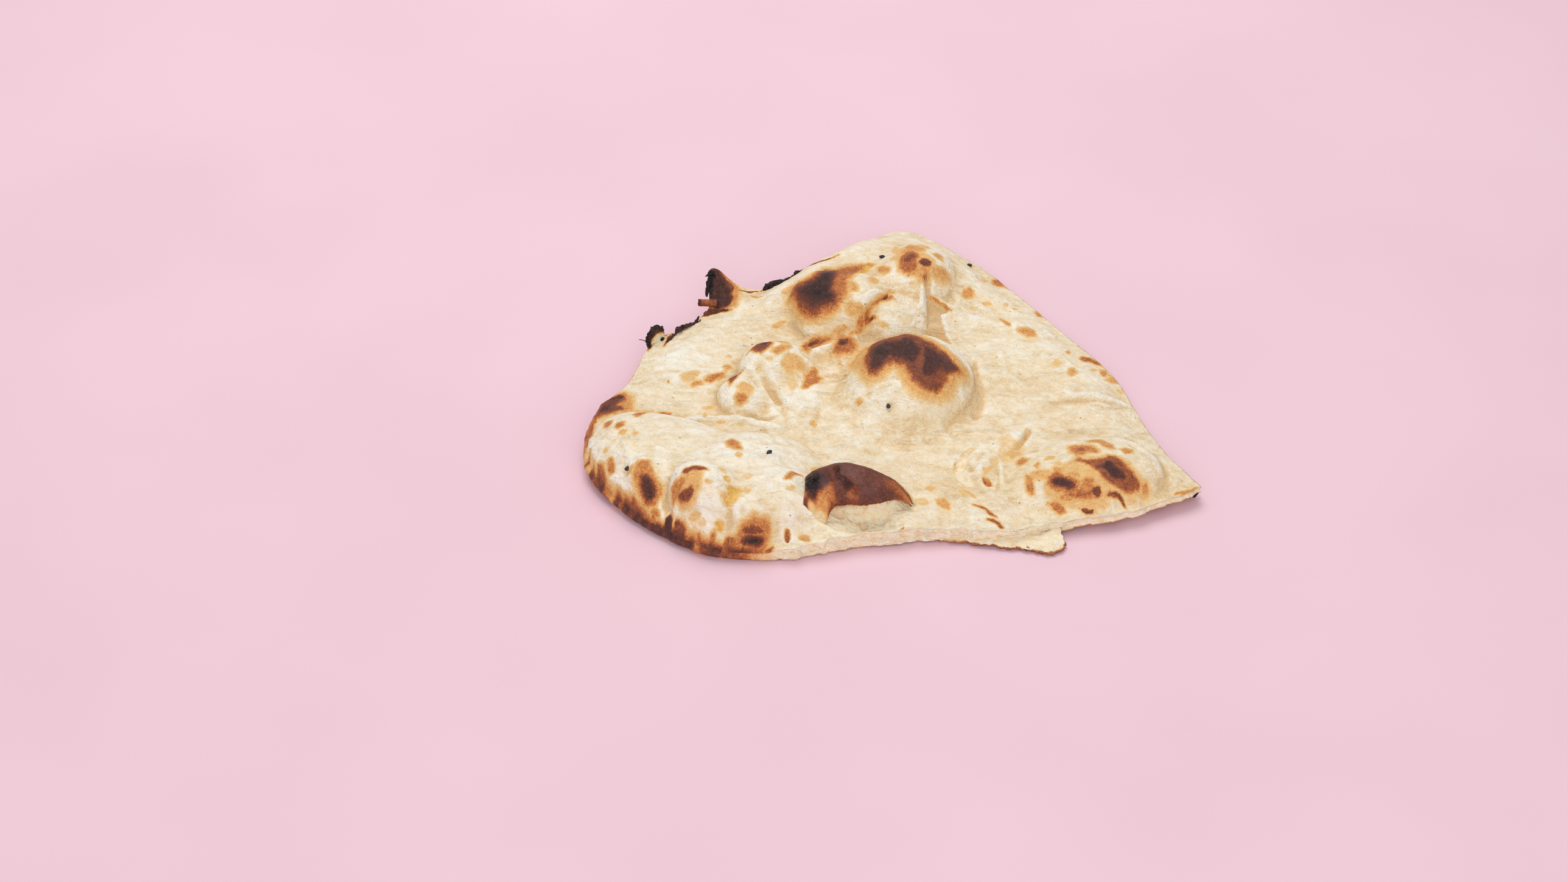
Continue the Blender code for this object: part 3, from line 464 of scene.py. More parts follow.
# Toasted patches of a less simple shape: depth of toasting, width of the fade, outline
PATCHES = [
    (0.48, 1.17, [(-38.5, 56.5), (-37.5, 58.5), (-36, 59.5), (-32.5, 61), (-27.5, 63), (-23, 73), (-19, 75), (-14.5, 77), (-10, 77.5), (-10, 74), (-13.5, 64), (-16, 58.5), (-16.5, 54.5), (-17, 50), (-19, 47.5), (-22, 45.5), (-25, 44.5), (-29, 44.5), (-32.5, 46), (-34, 48), (-34.5, 50.5), (-36.5, 53)]),
    (0.9, 1.1, [(-39.5, 58.5), (-38.5, 61.5), (-34.5, 61), (-30, 62), (-26, 74), (-20.5, 74), (-18.5, 60.5), (-20, 55.5), (-18.5, 50.5), (-20, 47.5), (-24, 46), (-28.5, 45), (-32.5, 47), (-35.5, 50.5), (-37.5, 54)]),
    (0.97, 0.5, [(-33, 55.4), (-29.8, 57), (-25.8, 55.8), (-24.4, 52.8), (-26.8, 50), (-30.6, 51)]),
    (0.27, 0.78, [(-17.4, 45.6), (-15.4, 47), (-12.6, 46), (-10.8, 44.8), (-12.6, 43.8), (-15, 44.4)]),
    (0.27, 0.65, [(-17, 54.4), (-15.2, 57.2), (-13, 54.8), (-12.6, 53), (-14.8, 51.6), (-16.6, 50.6)]),
    (0.27, 1.17, [(-9.5, 27), (-7, 27), (-3.5, 27), (0.5, 27), (3.5, 27), (7, 27), (9.5, 24.5), (12.5, 20.5), (15.5, 18), (18.5, 17.5), (21.5, 16), (24, 14), (26.5, 13.5), (27.5, 11.5), (26, 8.5), (23, 5.5), (21.5, 3.5), (21, 1), (19.5, -1.5), (16, -4), (12, -5), (9, -6), (7, -5), (5.5, -3.5), (3.5, 0.5), (1.5, 4), (-1, 6), (-3, 4.5), (-5, 2.5), (-7.5, 2), (-10.5, 3), (-12, 5), (-13, 9.5), (-15, 16), (-15.5, 21.5), (-14, 23), (-13, 27), (-11.5, 27), (-10.5, 27)]),
    (0.62, 0.8, [(-9.5, 22.5), (-5.5, 27), (-1.5, 27), (0.5, 24), (3.5, 27), (6, 24.5), (9, 22.5), (12.5, 19), (15.5, 17), (18.5, 16), (21, 14), (23.5, 12), (25, 11), (24.5, 9), (21.5, 7.5), (19, 4.5), (19.5, 3), (18, -0.5), (15.5, -3), (12.5, -3.5), (8.5, -4), (6.5, -1), (4, 2), (2.5, 5.5), (-0.5, 6.5), (-3, 5.5), (-5, 4), (-8, 3), (-10.5, 4.5), (-11.5, 8.5), (-12, 16), (-12, 15), (-10.5, 20)]),
    (0.84, 0.8, [(-7, 20.5), (-3.5, 21.5), (0, 20.5), (2.5, 24), (5, 23), (8, 20.5), (10.5, 16.5), (11.5, 12.5), (10, 9), (8.5, 6), (8, 3), (6.5, 2.5), (4.5, 5), (2, 7), (-1, 8), (-3, 6.5), (-5, 5), (-7.5, 4.5), (-10, 5.5), (-10.5, 9), (-11, 13.5), (-10.5, 24), (-9, 19)]),
    (0.93, 0.7, [(-8.4, 18.2), (-4.6, 19), (-0.6, 15.2), (3, 16.2), (2.4, 11.2), (-0.8, 9.6), (-4.8, 9.4), (-5.8, 6.4), (-8, 6.4), (-10, 9.6), (-10.2, 17)]),
    (0.82, 0.7, [(9, 19), (12.5, 17), (16, 15), (19, 13), (20, 10), (18, 6), (16, 2.5), (13.5, 0), (11, 0), (8.5, 0.5), (8, 4), (9, 8.5)]),
    (0.76, 0.6, [(13.6, 15.6), (18, 14.6), (21.4, 12.8), (24.6, 12.2), (25.4, 10.4), (22.4, 6.8), (18.8, 4.2), (16.4, 5), (14.6, 7.2)]),
    (0.38, 0.78, [(21.4, 8.8), (24, 11.4), (25.8, 11.6), (26.4, 10.4), (24.4, 8), (21.8, 6.4)]),
    (0.66, 0.5, [(-21, 33.4), (-17.8, 37), (-16.6, 35.8), (-17.4, 28), (-19.8, 28), (-21.4, 31)]),
    (0.34, 0.78, [(-22, 32), (-20.6, 39.6), (-17.2, 38.8), (-14.6, 36.6), (-13.6, 30), (-15, 26.2), (-17.8, 25), (-21.6, 25.6), (-23.6, 28.2), (-22.8, 29.4)]),
    (0.36, 0.65, [(-29.4, 39.8), (-26.4, 39.6), (-23, 39.6), (-24.2, 38.8), (-26.4, 37.8), (-29.6, 35.8)]),
    (0.58, 0.4, [(-4.5, 50.5), (-2.5, 52), (0.5, 52.5), (2, 52), (0, 51), (-3.5, 50), (-6, 48), (-7.5, 46.5), (-9, 44.5), (-11, 42.5), (-12.5, 42), (-14, 42.5), (-13, 43), (-10.5, 44), (-8.5, 46.5), (-6.5, 48.5)]),
    (0.74, 0.4, [(-4, 50.4), (-2, 52), (0.6, 52.4), (1.4, 52), (-1.4, 51), (-4, 50)]),
    (0.68, 0.4, [(-11, 42.4), (-10.4, 43.6), (-9.4, 44.2), (-6.8, 45.6), (-5, 44.4), (-6.8, 44.2), (-8.8, 43.2), (-10.2, 42.2)]),
    (0.31, 0.52, [(-2, 52.8), (-0.8, 57.2), (1.4, 57.2), (-0.2, 52.8)]),
    (0.2, 0.65, [(-5.2, 42.4), (-3.2, 42), (-1.6, 41.4), (-3.4, 41.4)]),
    (0.47, 0.59, [(-34.6, 26.8), (-34.2, 39.4), (-31.8, 39.8), (-28.4, 39.6), (-25.2, 39.4), (-22.8, 39.4), (-24.2, 38.4), (-26.6, 37.6), (-30, 35), (-33, 26.6)]),
    (0.66, 0.4, [(-33.4, 36), (-32, 39), (-28.8, 39), (-26, 39), (-27.6, 38.4), (-30.8, 36.6)]),
    (0.38, 0.52, [(-16.8, 39.8), (-13.6, 41.4), (-11.8, 42), (-10.8, 41.6), (-13.4, 40.2), (-15.6, 38.4)]),
    (0.31, 0.52, [(-22.6, 40.8), (-20.4, 41.6), (-18.6, 41.8), (-17, 41.6), (-18.8, 41), (-21, 40.8)]),
    (0.47, 0.78, [(-23.2, 28), (-22.4, 30.2), (-21.6, 32.2), (-20, 39.4), (-17.8, 38.4), (-15.6, 36.8), (-13.8, 35.6), (-14, 28), (-15.4, 25.4), (-18, 24.8), (-21.2, 25.4)]),
    (0.86, 0.5, [(-21.4, 30.2), (-20.8, 32.6), (-19.2, 33.6), (-17.2, 36.4), (-17, 30.2), (-18.6, 28), (-20.2, 28.8)]),
    (0.6, 0.5, [(-54.8, 23.4), (-53.2, 26), (-50.8, 28.4), (-48.4, 29.4), (-46.4, 29), (-44.6, 26.4), (-45.6, 24.2), (-47.8, 21.6), (-49.4, 20.2), (-51.8, 21.8), (-53.6, 24.2)]),
    (0.8, 0.4, [(-50.6, 27.2), (-48.4, 29), (-46.8, 28.4), (-46.2, 25.6), (-48.2, 24.4), (-49.8, 25.8)]),
    (0.34, 0.59, [(-45.2, 20.8), (-44.2, 22.8), (-41.4, 24.6), (-38.4, 25.4), (-40, 23.2), (-41.6, 21.8), (-43.6, 20)]),
    (0.29, 0.52, [(-44.8, 29.2), (-41.4, 28.6), (-38.6, 27.2), (-40.8, 26.4)]),
    (0.23, 0.78, [(-41.2, 16), (-40.2, 18.6), (-38.6, 21), (-37, 21.2), (-34.4, 20.6), (-34.2, 18.8), (-35, 17), (-36.4, 17.2), (-38.2, 15.8), (-38.2, 14.2), (-39.6, 14.2), (-40.2, 15.6)]),
    (0.31, 0.52, [(-36.2, 18.2), (-35.2, 19.2), (-34.4, 19.2), (-35, 17.2), (-36.4, 17.2)]),
    (0.16, 0.78, [(-40, 9.6), (-38.2, 11), (-37.4, 7.6), (-38.6, 5.8)]),
    (0.2, 0.52, [(-47.2, 17.8), (-46.4, 18.2), (-45.4, 17.8), (-46.2, 17.2)]),
    (0.4, 0.52, [(-30.2, 20.4), (-29.2, 19.2), (-28.8, 16.6), (-27, 16), (-28.2, 15), (-31, 9.6), (-32.8, 6.8), (-34.8, 6.2), (-34.4, 8.8), (-33.2, 15.6), (-31.6, 18.8)]),
    (0.58, 0.4, [(-61.2, 7.8), (-62, 10.4), (-61.2, 13.2), (-59.6, 14.8), (-56.8, 16), (-57.2, 13.6), (-58.2, 9.2), (-59.8, 7), (-60.8, 5.8)]),
    (0.24, 0.78, [(-57, 4.2), (-56, 5.6), (-53.6, 5.6), (-52.6, 4.6), (-53.6, 2.2), (-54.8, 1.6), (-55.6, 2.4)]),
    (0.38, 0.65, [(-59, 0.6), (-57.8, 1.8), (-55.6, 1.8), (-54.8, 0.4), (-55, -0.6), (-57, -1.4), (-58.6, -0.6)]),
    (0.22, 0.39, [(-21, 23), (-20.4, 23.2), (-20, 22.6), (-20.4, 22.2)]),
    (0.31, 0.65, [(-14.4, -2.2), (-13.6, -2), (-12.6, -3.2), (-13.6, -3.4)]),
    (0.29, 0.65, [(-64.4, 23.6), (-63.4, 26.4), (-61.4, 23.8), (-63.2, 22.6)]),
    (0.31, 0.78, [(-66.6, 19.4), (-64.6, 21.2), (-64.2, 19.6), (-66.6, 17.6)]),
    (0.43, 0.52, [(-71.6, 17.4), (-70.6, 19.2), (-67.6, 20.4), (-64.2, 21.2), (-66.4, 19), (-69.2, 16.4)]),
    (0.34, 0.52, [(-77, 14.2), (-75.6, 15.8), (-73, 16.8), (-72.2, 15.4), (-74.4, 14.4), (-76, 13)]),
    (0.29, 0.52, [(-64.8, 24), (-63.2, 26), (-62, 23.4), (-63.8, 22.4)]),
    (0.2, 0.78, [(-80.2, 17), (-77.6, 19.2), (-74.4, 20.4), (-76.2, 17.6), (-79.2, 16)]),
    (0.23, 0.39, [(-63.8, 31.4), (-62.8, 32.2), (-61.6, 31.6), (-62.8, 31)]),
    (0.27, 0.52, [(-45.8, 50.6), (-43.4, 52), (-41, 51.8), (-41.6, 51), (-44, 49.6), (-46, 49.8)]),
    (0.25, 0.52, [(-42, 63.6), (-40, 65.2), (-36.4, 66.6), (-38.6, 61.4), (-41.2, 62.6)]),
    (0.5, 0.33, [(-85.6, 14.2), (-85.2, 14.6), (-85, 14), (-85.2, 13.4)]),
    (0.41, 0.39, [(-102.8, 13.6), (-101.8, 15.2), (-100.8, 17), (-101, 16.4), (-102, 13.4)]),
    (0.22, 0.78, [(1, 78), (3, 78.5), (3, 92), (2, 83), (5, 85), (9, 86), (11, 85), (12, 89), (15, 86), (13, 81.5), (11.5, 78.5), (15.5, 77), (16, 72), (20, 74.5), (22, 74), (23, 71), (21, 68), (18, 66.5), (15.5, 66.5), (14.5, 66), (12.5, 63.5), (11.5, 61.5), (9.5, 64.5), (6, 65.5), (3, 67.5), (2.5, 72)]),
    (0.32, 0.59, [(2.2, 78.2), (4.2, 80.6), (8, 88.8), (10, 87.4), (11, 86.2), (10.2, 87.8), (11.8, 82.2), (13.8, 85), (11.8, 79), (8.8, 79), (6, 78.6)]),
    (0.49, 0.65, [(3, 73.6), (4, 76.6), (6.4, 79.2), (9.6, 79.6), (11.6, 76.8), (10.4, 74), (10.6, 70), (9.2, 67), (6.4, 65.8), (4.2, 66.6), (3, 69.2)]),
    (0.62, 0.5, [(4.4, 73.6), (5.8, 76.6), (8.8, 78), (10.2, 75.8), (8.4, 71.2), (6, 70.2)]),
    (0.66, 0.4, [(10.6, 72), (12.4, 75.2), (14.4, 75.2), (16, 74.2), (15.6, 71), (13.2, 69.4), (11.2, 69.6), (10.8, 70.6)]),
    (0.32, 0.65, [(5.2, 66.4), (9.4, 68.2), (15.2, 70.4), (15, 67.6), (13, 64.6), (11.6, 61.8), (10.2, 64.4), (7, 65.6)]),
    (0.31, 0.65, [(16, 70.8), (20.2, 74.2), (22, 73.8), (22.6, 71.2), (20.4, 68.6), (18, 67.8), (16.4, 68.2)]),
    (0.66, 0.25, [(11.8, 61.4), (12, 63), (13, 64.6), (13.6, 65.2), (13, 63.6)]),
    (0.31, 0.59, [(17, 80.2), (19, 83.2), (20.6, 81.8), (20.4, 78.8), (18.4, 78.4)]),
    (0.38, 0.65, [(-15, 74.6), (-12.2, 77), (-8.2, 78.8), (-6, 77), (-7.8, 76), (-11.2, 75), (-15, 71.8)]),
    (0.32, 0.65, [(-5.4, 74.2), (-3.6, 74.4), (-0.8, 70.4), (-1.2, 68.2), (-2.8, 67.4), (-4.6, 70.8)]),
    (0.25, 0.65, [(-8.4, 60.6), (-7, 63.6), (-5.2, 62.4), (-5.6, 59.4), (-7.2, 58.2)]),
    (0.36, 0.65, [(-14.6, 55.6), (-13.8, 55.6), (-12.8, 52.8), (-13.4, 52), (-14.8, 52.2)]),
    (0.13, 0.52, [(7.4, 61.2), (8.2, 61.8), (9.2, 61.4), (8, 60.8)]),
    (0.43, 0.52, [(40.4, 85.6), (43.2, 86.4), (45.2, 83.4), (47.2, 80.8), (47.2, 80.8), (45, 82), (42.6, 82), (40.6, 82.4)]),
    (0.34, 0.65, [(28.4, 68.8), (29.2, 71.4), (31.4, 72.6), (32.4, 70.8), (32.2, 68.6), (30.2, 66.6), (28.4, 66.6)]),
    (0.25, 0.52, [(35.8, 65.4), (37.8, 66.4), (39.2, 65), (37.2, 64.6)]),
    (0.22, 0.52, [(44.4, 65.2), (45.2, 66.4), (45.8, 65.6), (45.2, 64.6)]),
    (0.18, 0.52, [(47.6, 62.8), (48.6, 64), (49.6, 63.6), (48.6, 62.6)]),
    (0.16, 0.65, [(31, 61), (32.2, 62), (33.4, 61.4), (32.2, 60.4)]),
    (0.36, 0.39, [(42, 56), (43.8, 54.4), (45.6, 51.8), (46, 49.8), (44.4, 50.8), (43, 52.6)]),
    (0.41, 0.52, [(56.4, 65.2), (58.4, 64.2), (58.8, 61.6), (57.2, 61.8)]),
    (0.36, 0.65, [(48.8, 48.2), (52.4, 48.8), (54.6, 46.8), (55.2, 44.8), (52, 43.8), (49.6, 46.2)]),
    (0.18, 0.52, [(36, 81.4), (37.4, 84), (38.8, 83.6), (37.2, 80.6)]),
    (0.32, 0.39, [(66.6, 36.6), (67.8, 38.4), (68.4, 36.4), (67.4, 35)]),
    (0.2, 0.65, [(61, 28.8), (62.6, 30), (63.8, 28.6), (62.4, 27.4)]),
    (0.31, 0.65, [(66.8, 24), (68.6, 24.8), (69.2, 22), (67.6, 20.4), (66.6, 21.4)]),
    (0.49, 0.45, [(71.4, 32.4), (72.4, 35.6), (75.8, 35.4), (78.2, 33.8), (80.2, 30.8), (79.4, 30.8), (76.2, 32.4), (72.8, 31.2)]),
    (0.34, 0.52, [(79.2, 28), (81, 28), (81.8, 25.2), (79.8, 22.8), (78.8, 24)]),
    (0.31, 0.59, [(80.6, 20), (83.2, 24.2), (85.2, 21.4), (85.4, 20.2), (82.8, 19.4)]),
    (0.22, 0.39, [(75, 26), (76.2, 27), (77.6, 26.6), (76, 24.8)]),
    (0.18, 0.52, [(84.4, 15.2), (86.2, 15.6), (86.8, 13.8), (84.8, 13.6)]),
    (0.22, 0.91, [(56, -40), (58.5, -39), (62, -38.5), (64, -36.5), (64.5, -35), (68, -36.5), (71.5, -37), (75.5, -36), (79, -37.5), (82.5, -39.5), (85, -42.5), (87, -44.5), (89.5, -45), (90.5, -46.5), (89.5, -49), (88, -49), (87, -48), (85, -50.5), (84, -52), (83, -52), (83.5, -50.5), (81, -50), (78.5, -50.5), (75, -51), (73.5, -52.5), (74.5, -54), (73, -55), (70.5, -54.5), (70, -56.5), (67.5, -57), (65, -56), (62, -54.5), (60.5, -53.5), (58.5, -54.5), (56, -52.5), (57.5, -51.5), (54, -49.5), (53.5, -48), (53.5, -46.5), (55, -43)]),
    (0.41, 0.78, [(62.6, -27.4), (64.2, -27), (67.6, -27.2), (71, -28.4), (72.4, -30.8), (72.8, -33.4), (70.4, -33.6), (68.8, -33.4), (67.6, -34.6), (64.8, -34.6), (63.4, -32.4)]),
    (0.49, 0.52, [(64.8, -29), (66.6, -28.6), (69, -30), (68.2, -32.6), (65.6, -32.6)]),
    (0.34, 0.52, [(69.8, -23.8), (72.6, -21.4), (74.8, -21.4), (77, -26), (78.6, -28.6), (79, -31.2), (77.2, -31.2), (75.2, -28.8), (73.6, -25.2), (72, -25.4), (70, -25)]),
    (0.34, 0.52, [(81, -31.6), (82.6, -30.6), (85, -31.6), (85, -33), (82.4, -34.6)]),
    (0.25, 0.52, [(53.4, -33.2), (54.8, -31.8), (57, -32.8), (55.8, -34), (54.2, -34)]),
    (0.34, 0.65, [(44, -29.8), (45.6, -28.2), (48, -29.8), (46.8, -31.8), (45.2, -32.8), (43.8, -31.8)]),
    (0.31, 0.52, [(49.6, -35.4), (50.8, -34), (51.6, -35.6), (50.6, -37.4)]),
    (0.23, 0.52, [(56.8, -36.8), (58.2, -36.4), (59.2, -38), (57.8, -38)]),
    (0.38, 0.59, [(46.4, -38.8), (47.4, -40.2), (48.6, -41.6), (48.6, -45.8), (48.8, -48.8), (47.8, -49.2), (46.6, -47.6), (46.2, -44.6), (46.2, -41.6)]),
    (0.27, 0.65, [(48.2, -39.2), (51.2, -39.6), (55, -40.8), (55.2, -42.8), (53.6, -44.2), (51, -43.8), (48.8, -41.8)]),
    (0.47, 0.65, [(53.4, -46.6), (54, -44), (55.4, -42), (57.8, -41.6), (60.2, -44), (62.8, -45.8), (65, -47.6), (65, -49.4), (63.8, -50.8), (60.6, -51), (57.6, -50.2), (55, -48.8)]),
    (0.88, 0.5, [(54.2, -46.2), (54.8, -44.2), (56.2, -43.2), (58.4, -43.8), (60.8, -45.8), (63.4, -47.2), (64.4, -48.6), (63.6, -50.4), (60.6, -50.4), (57.8, -49.4), (55.4, -48.2)]),
    (0.34, 0.65, [(56, -41.2), (56.6, -39), (58.6, -40), (59, -43.2), (57.6, -42.4)]),
    (0.41, 1.04, [(60, -51), (63.5, -50.5), (65, -49.5), (66, -47), (67.5, -46), (69.5, -46.5), (70.5, -48), (69.5, -49), (72.5, -49.5), (73, -51), (72, -52.5), (70, -53), (66.5, -53), (63.5, -53), (60.5, -52.5), (58.5, -51.5)]),
    (0.49, 0.65, [(60.6, -51), (64, -51), (67.2, -51), (69.8, -50.8), (70.2, -51.8), (66.4, -52.2), (63.2, -52.6), (61, -52)]),
    (0.56, 0.6, [(63.5, -37.5), (65.5, -35.5), (68, -38), (71.5, -37.5), (73, -37), (75.5, -36), (78, -36), (81, -38.5), (83, -41), (85, -43), (87, -44.5), (88, -46), (87, -48), (84.5, -49.5), (82, -50), (79.5, -49.5), (77, -49), (75.5, -48.5), (73, -46.5), (72, -44), (69, -41.5), (67, -40), (64, -39)]),
    (0.86, 0.6, [(68, -39.5), (71, -40), (73, -40), (74.5, -37.5), (77.5, -38), (79, -40.5), (81.5, -42.5), (83, -44.5), (83.5, -45.5), (82, -47), (78.5, -47.5), (76, -47), (74, -44.5), (72, -43), (70, -41.5)]),
    (0.34, 0.45, [(88, -45.6), (89.6, -45.4), (90.6, -46.4), (90, -48.2), (88.6, -49), (87.8, -47.6)]),
    (0.64, 0.35, [(68.4, -50.8), (70.4, -49.2), (72.6, -49.6), (72.8, -51.2), (71.6, -52.6), (70.2, -52.2), (69.4, -51.2)]),
    (0.62, 0.3, [(74.6, -52.2), (75.4, -51), (77.6, -50.6), (79.6, -50.8), (80.6, -52), (81.4, -53.6), (82, -55), (81, -54.8), (79.8, -53.4), (78.6, -52.4), (76.4, -52.4)]),
    (0.62, 0.3, [(65, -56.2), (67, -55.6), (70, -56.2), (69.4, -57.6), (67.4, -57.6), (65.6, -57)]),
    (0.47, 0.52, [(53.4, -53.2), (55.4, -53), (57.6, -53.6), (58.8, -54.4), (59.8, -56.4), (57.4, -57.2), (55.6, -55.6), (54.6, -54)]),
    (0.31, 0.52, [(60.2, -43.8), (62.2, -43.4), (64.4, -44.2), (65.2, -45.4), (63.4, -45.8), (61.2, -44.8)]),
    (0.36, 0.65, [(57.6, -51.8), (59.4, -51.6), (60.6, -52.4), (60.2, -53), (58.6, -52.6)]),
    (0.6, 0.5, [(-111.8, -1.2), (-109.8, 2.6), (-107.4, 4), (-104.4, 3.4), (-103.6, -0.2), (-104.6, -3.6), (-107.4, -4), (-110.2, -4.6), (-111.6, -3)]),
    (0.78, 0.4, [(-111.4, -0.8), (-109.6, 1.4), (-106.8, 2.8), (-105, 0.2), (-107, -2.4), (-109.6, -3)]),
    (0.74, 0.3, [(-108.2, 4.2), (-106.4, 6.8), (-102.4, 7), (-101.4, 6.4), (-103.8, 5.2), (-107, 4.2)]),
    (0.31, 0.52, [(-103, 0.4), (-100.8, 1.4), (-98.4, -1), (-100.6, -2.6), (-102.8, -1.8)]),
    (0.47, 0.39, [(-113.4, -9.6), (-113.4, -5.8), (-112, -3), (-111.2, -5.2), (-111.6, -8.4)]),
    (0.41, 0.45, [(-107.6, -21.2), (-107.4, -16.8), (-104.8, -17.8), (-104.8, -21.2), (-106.2, -22.6)]),
    (0.4, 0.45, [(-103.2, -24.2), (-102.4, -21.8), (-100, -21.4), (-100.2, -23.8), (-102.2, -25.8)]),
    (0.31, 0.45, [(-101.4, -28.2), (-101, -26.8), (-99, -26.4), (-100, -28.4)]),
    (0.31, 0.39, [(-97, -28.2), (-96.2, -27.2), (-95, -27.6), (-96, -29)]),
    (0.25, 0.39, [(-107.2, -33.2), (-106.4, -32.2), (-105.8, -33.6), (-106.4, -33.8)]),
    (0.18, 0.39, [(-109.8, -8), (-109, -6.2), (-108.4, -6.6), (-109, -8.4)]),
    (0.41, 0.45, [(-97, -16), (-95, -12.8), (-92.2, -12.6), (-94, -15.8), (-95.8, -18)]),
    (0.43, 0.39, [(-88.6, -2.8), (-86.6, -1.8), (-83.4, -1.8), (-85.4, -3.8), (-87.6, -3.6)]),
    (0.23, 0.52, [(-72, 1.6), (-69.8, 2.2), (-67.6, 1.8), (-70.4, 1)]),
    (0.2, 0.52, [(-72, -2.2), (-71, -1.2), (-70.4, -2.4), (-71.2, -4.4)]),
    (0.32, 0.33, [(-67, -6.8), (-65.2, -6.8), (-63.4, -7.2), (-65.2, -7.2)]),
    (0.49, 0.52, [(-114, -29.8), (-112.4, -31), (-111, -34.2), (-111, -37.8), (-109, -41.2), (-109.2, -40.6), (-111, -38), (-113, -34.2)]),
    (0.45, 0.59, [(-110, -37), (-109.4, -35.8), (-107.4, -37.2), (-106.4, -40.8), (-106.4, -43.4), (-105.2, -45.8), (-105.6, -45.4), (-108.4, -41.8), (-109.8, -39.8)]),
    (0.41, 0.52, [(-105.6, -36.8), (-104, -37), (-103.4, -39.4), (-103.2, -41.6), (-104.8, -41.4), (-105.6, -39.4)]),
    (0.56, 0.5, [(-106.5, -44), (-104, -46.5), (-101, -49.5), (-99.5, -52), (-96, -55), (-92, -59), (-89.5, -61), (-92, -59), (-96.5, -55), (-99.5, -51.5), (-104.5, -46.5), (-106.5, -44)]),
    (0.38, 0.65, [(-96, -47.5), (-95, -44), (-93.5, -43.5), (-90.5, -43), (-89.5, -45.5), (-88.5, -48.5), (-86, -51.5), (-86, -54.5), (-88, -57), (-90.5, -57), (-93, -55), (-94.5, -52), (-96, -49)]),
    (0.8, 0.6, [(-94.2, -49.6), (-93.8, -48), (-91.4, -47.6), (-89, -48.8), (-87, -51.8), (-87, -54.4), (-88.8, -56.2), (-91.2, -56.4), (-93.2, -54.4), (-94.2, -51.6)]),
    (0.27, 0.45, [(-98, -45), (-96.8, -43.8), (-96, -43.8), (-96.8, -46)]),
    (0.41, 0.45, [(-89.4, -57.6), (-87.4, -57.8), (-86, -59), (-86, -60.4), (-88.8, -59.4)]),
    (0.58, 0.45, [(-77.2, -54.2), (-76.2, -52.8), (-72.8, -52.8), (-69.6, -53.2), (-67.6, -54.2), (-70.2, -55.2), (-73.2, -55), (-75.4, -55.6)]),
    (0.41, 0.52, [(-81.4, -58), (-81.4, -55.8), (-79.6, -55.2), (-76.8, -55.8), (-76, -57.6), (-77.8, -58.8), (-79.4, -59.8), (-80.8, -60.2)]),
    (0.61, 0.5, [(-79.4, -60.4), (-78.6, -59.2), (-76.2, -59.4), (-73.2, -59.6), (-72.6, -61.4), (-73.4, -63), (-75.2, -63.2), (-78, -61.6)]),
    (0.27, 0.78, [(-76, -55.6), (-70.2, -56), (-71, -60.2), (-73, -63.4), (-74.8, -64.2), (-77.6, -62.4), (-79.4, -59.8)]),
    (0.22, 0.52, [(-68.6, -59.4), (-68, -58.8), (-66.8, -59.4), (-67.6, -59.8)]),
    (0.82, 0.3, [(-84.8, -63.4), (-83.8, -61.2), (-82, -61.4), (-81.2, -63.4), (-82.4, -64.4)]),
    (0.86, 0.3, [(-88.8, -61.6), (-86.6, -61.2), (-85.2, -62.8), (-86.4, -63.2), (-88.6, -62)]),
    (0.64, 0.4, [(-81, -64.8), (-80.2, -64.4), (-78.8, -65), (-76.8, -67), (-76.6, -67.8), (-80.8, -65.8)]),
    (0.22, 0.52, [(-74.6, -66.4), (-73.2, -66.4), (-72, -67.4), (-73.8, -67.2)]),
    (0.38, 0.52, [(-62.8, -32.8), (-61, -30.6), (-57.8, -33.8), (-56.8, -36.6), (-59.2, -36.6), (-62.2, -35.4)]),
    (0.22, 0.52, [(-58.8, -40), (-58, -39), (-57, -39.8), (-57.8, -41.4)]),
    (0.16, 0.52, [(-56.2, -50.8), (-54.8, -49.8), (-53.4, -51.2), (-54.8, -52.6)]),
    (0.18, 0.52, [(-56.6, -58.8), (-55.4, -58), (-54, -59), (-55.2, -60.6)]),
    (0.4, 0.45, [(-41.6, -53), (-39, -47.6), (-34.8, -47.8), (-37.2, -49.4), (-40.2, -52.6)]),
    (0.14, 0.52, [(-39.8, -56.4), (-39, -55.4), (-38.2, -55.8), (-39, -57)]),
    (0.23, 0.52, [(-31.6, -8.4), (-30.4, -7.2), (-29.8, -8.8), (-30.2, -10.4)]),
    (0.6, 0.4, [(-88.6, -62), (-88, -60.8), (-87, -60.6), (-85.8, -62.2), (-85, -64.8), (-85.6, -64.4)]),
    (0.74, 0.35, [(-84.8, -65), (-83.8, -62.2), (-82, -61), (-81.4, -62.6), (-81.6, -64.4), (-82.8, -66)]),
    (0.56, 0.5, [(-81.6, -67.2), (-81, -65), (-79.8, -64.6), (-77.2, -66.2), (-75.8, -68.4), (-74, -70.6), (-73.4, -72), (-77.6, -69.8)]),
    (0.45, 0.52, [(-74.6, -71), (-73.4, -70.4), (-71.6, -70.6), (-70.4, -72), (-69.8, -73.6), (-72.6, -72.6)]),
    (0.43, 0.52, [(-68.4, -73.4), (-67.6, -71.8), (-66.2, -70.8), (-65.6, -71.8), (-66.2, -73.4), (-67.6, -74.4)]),
    (0.49, 0.52, [(-65.2, -74.8), (-63, -73.6), (-61.6, -71.8), (-59.2, -72), (-58.2, -72.8), (-57.8, -75), (-58, -75.6), (-61.6, -75.4), (-63.8, -75)]),
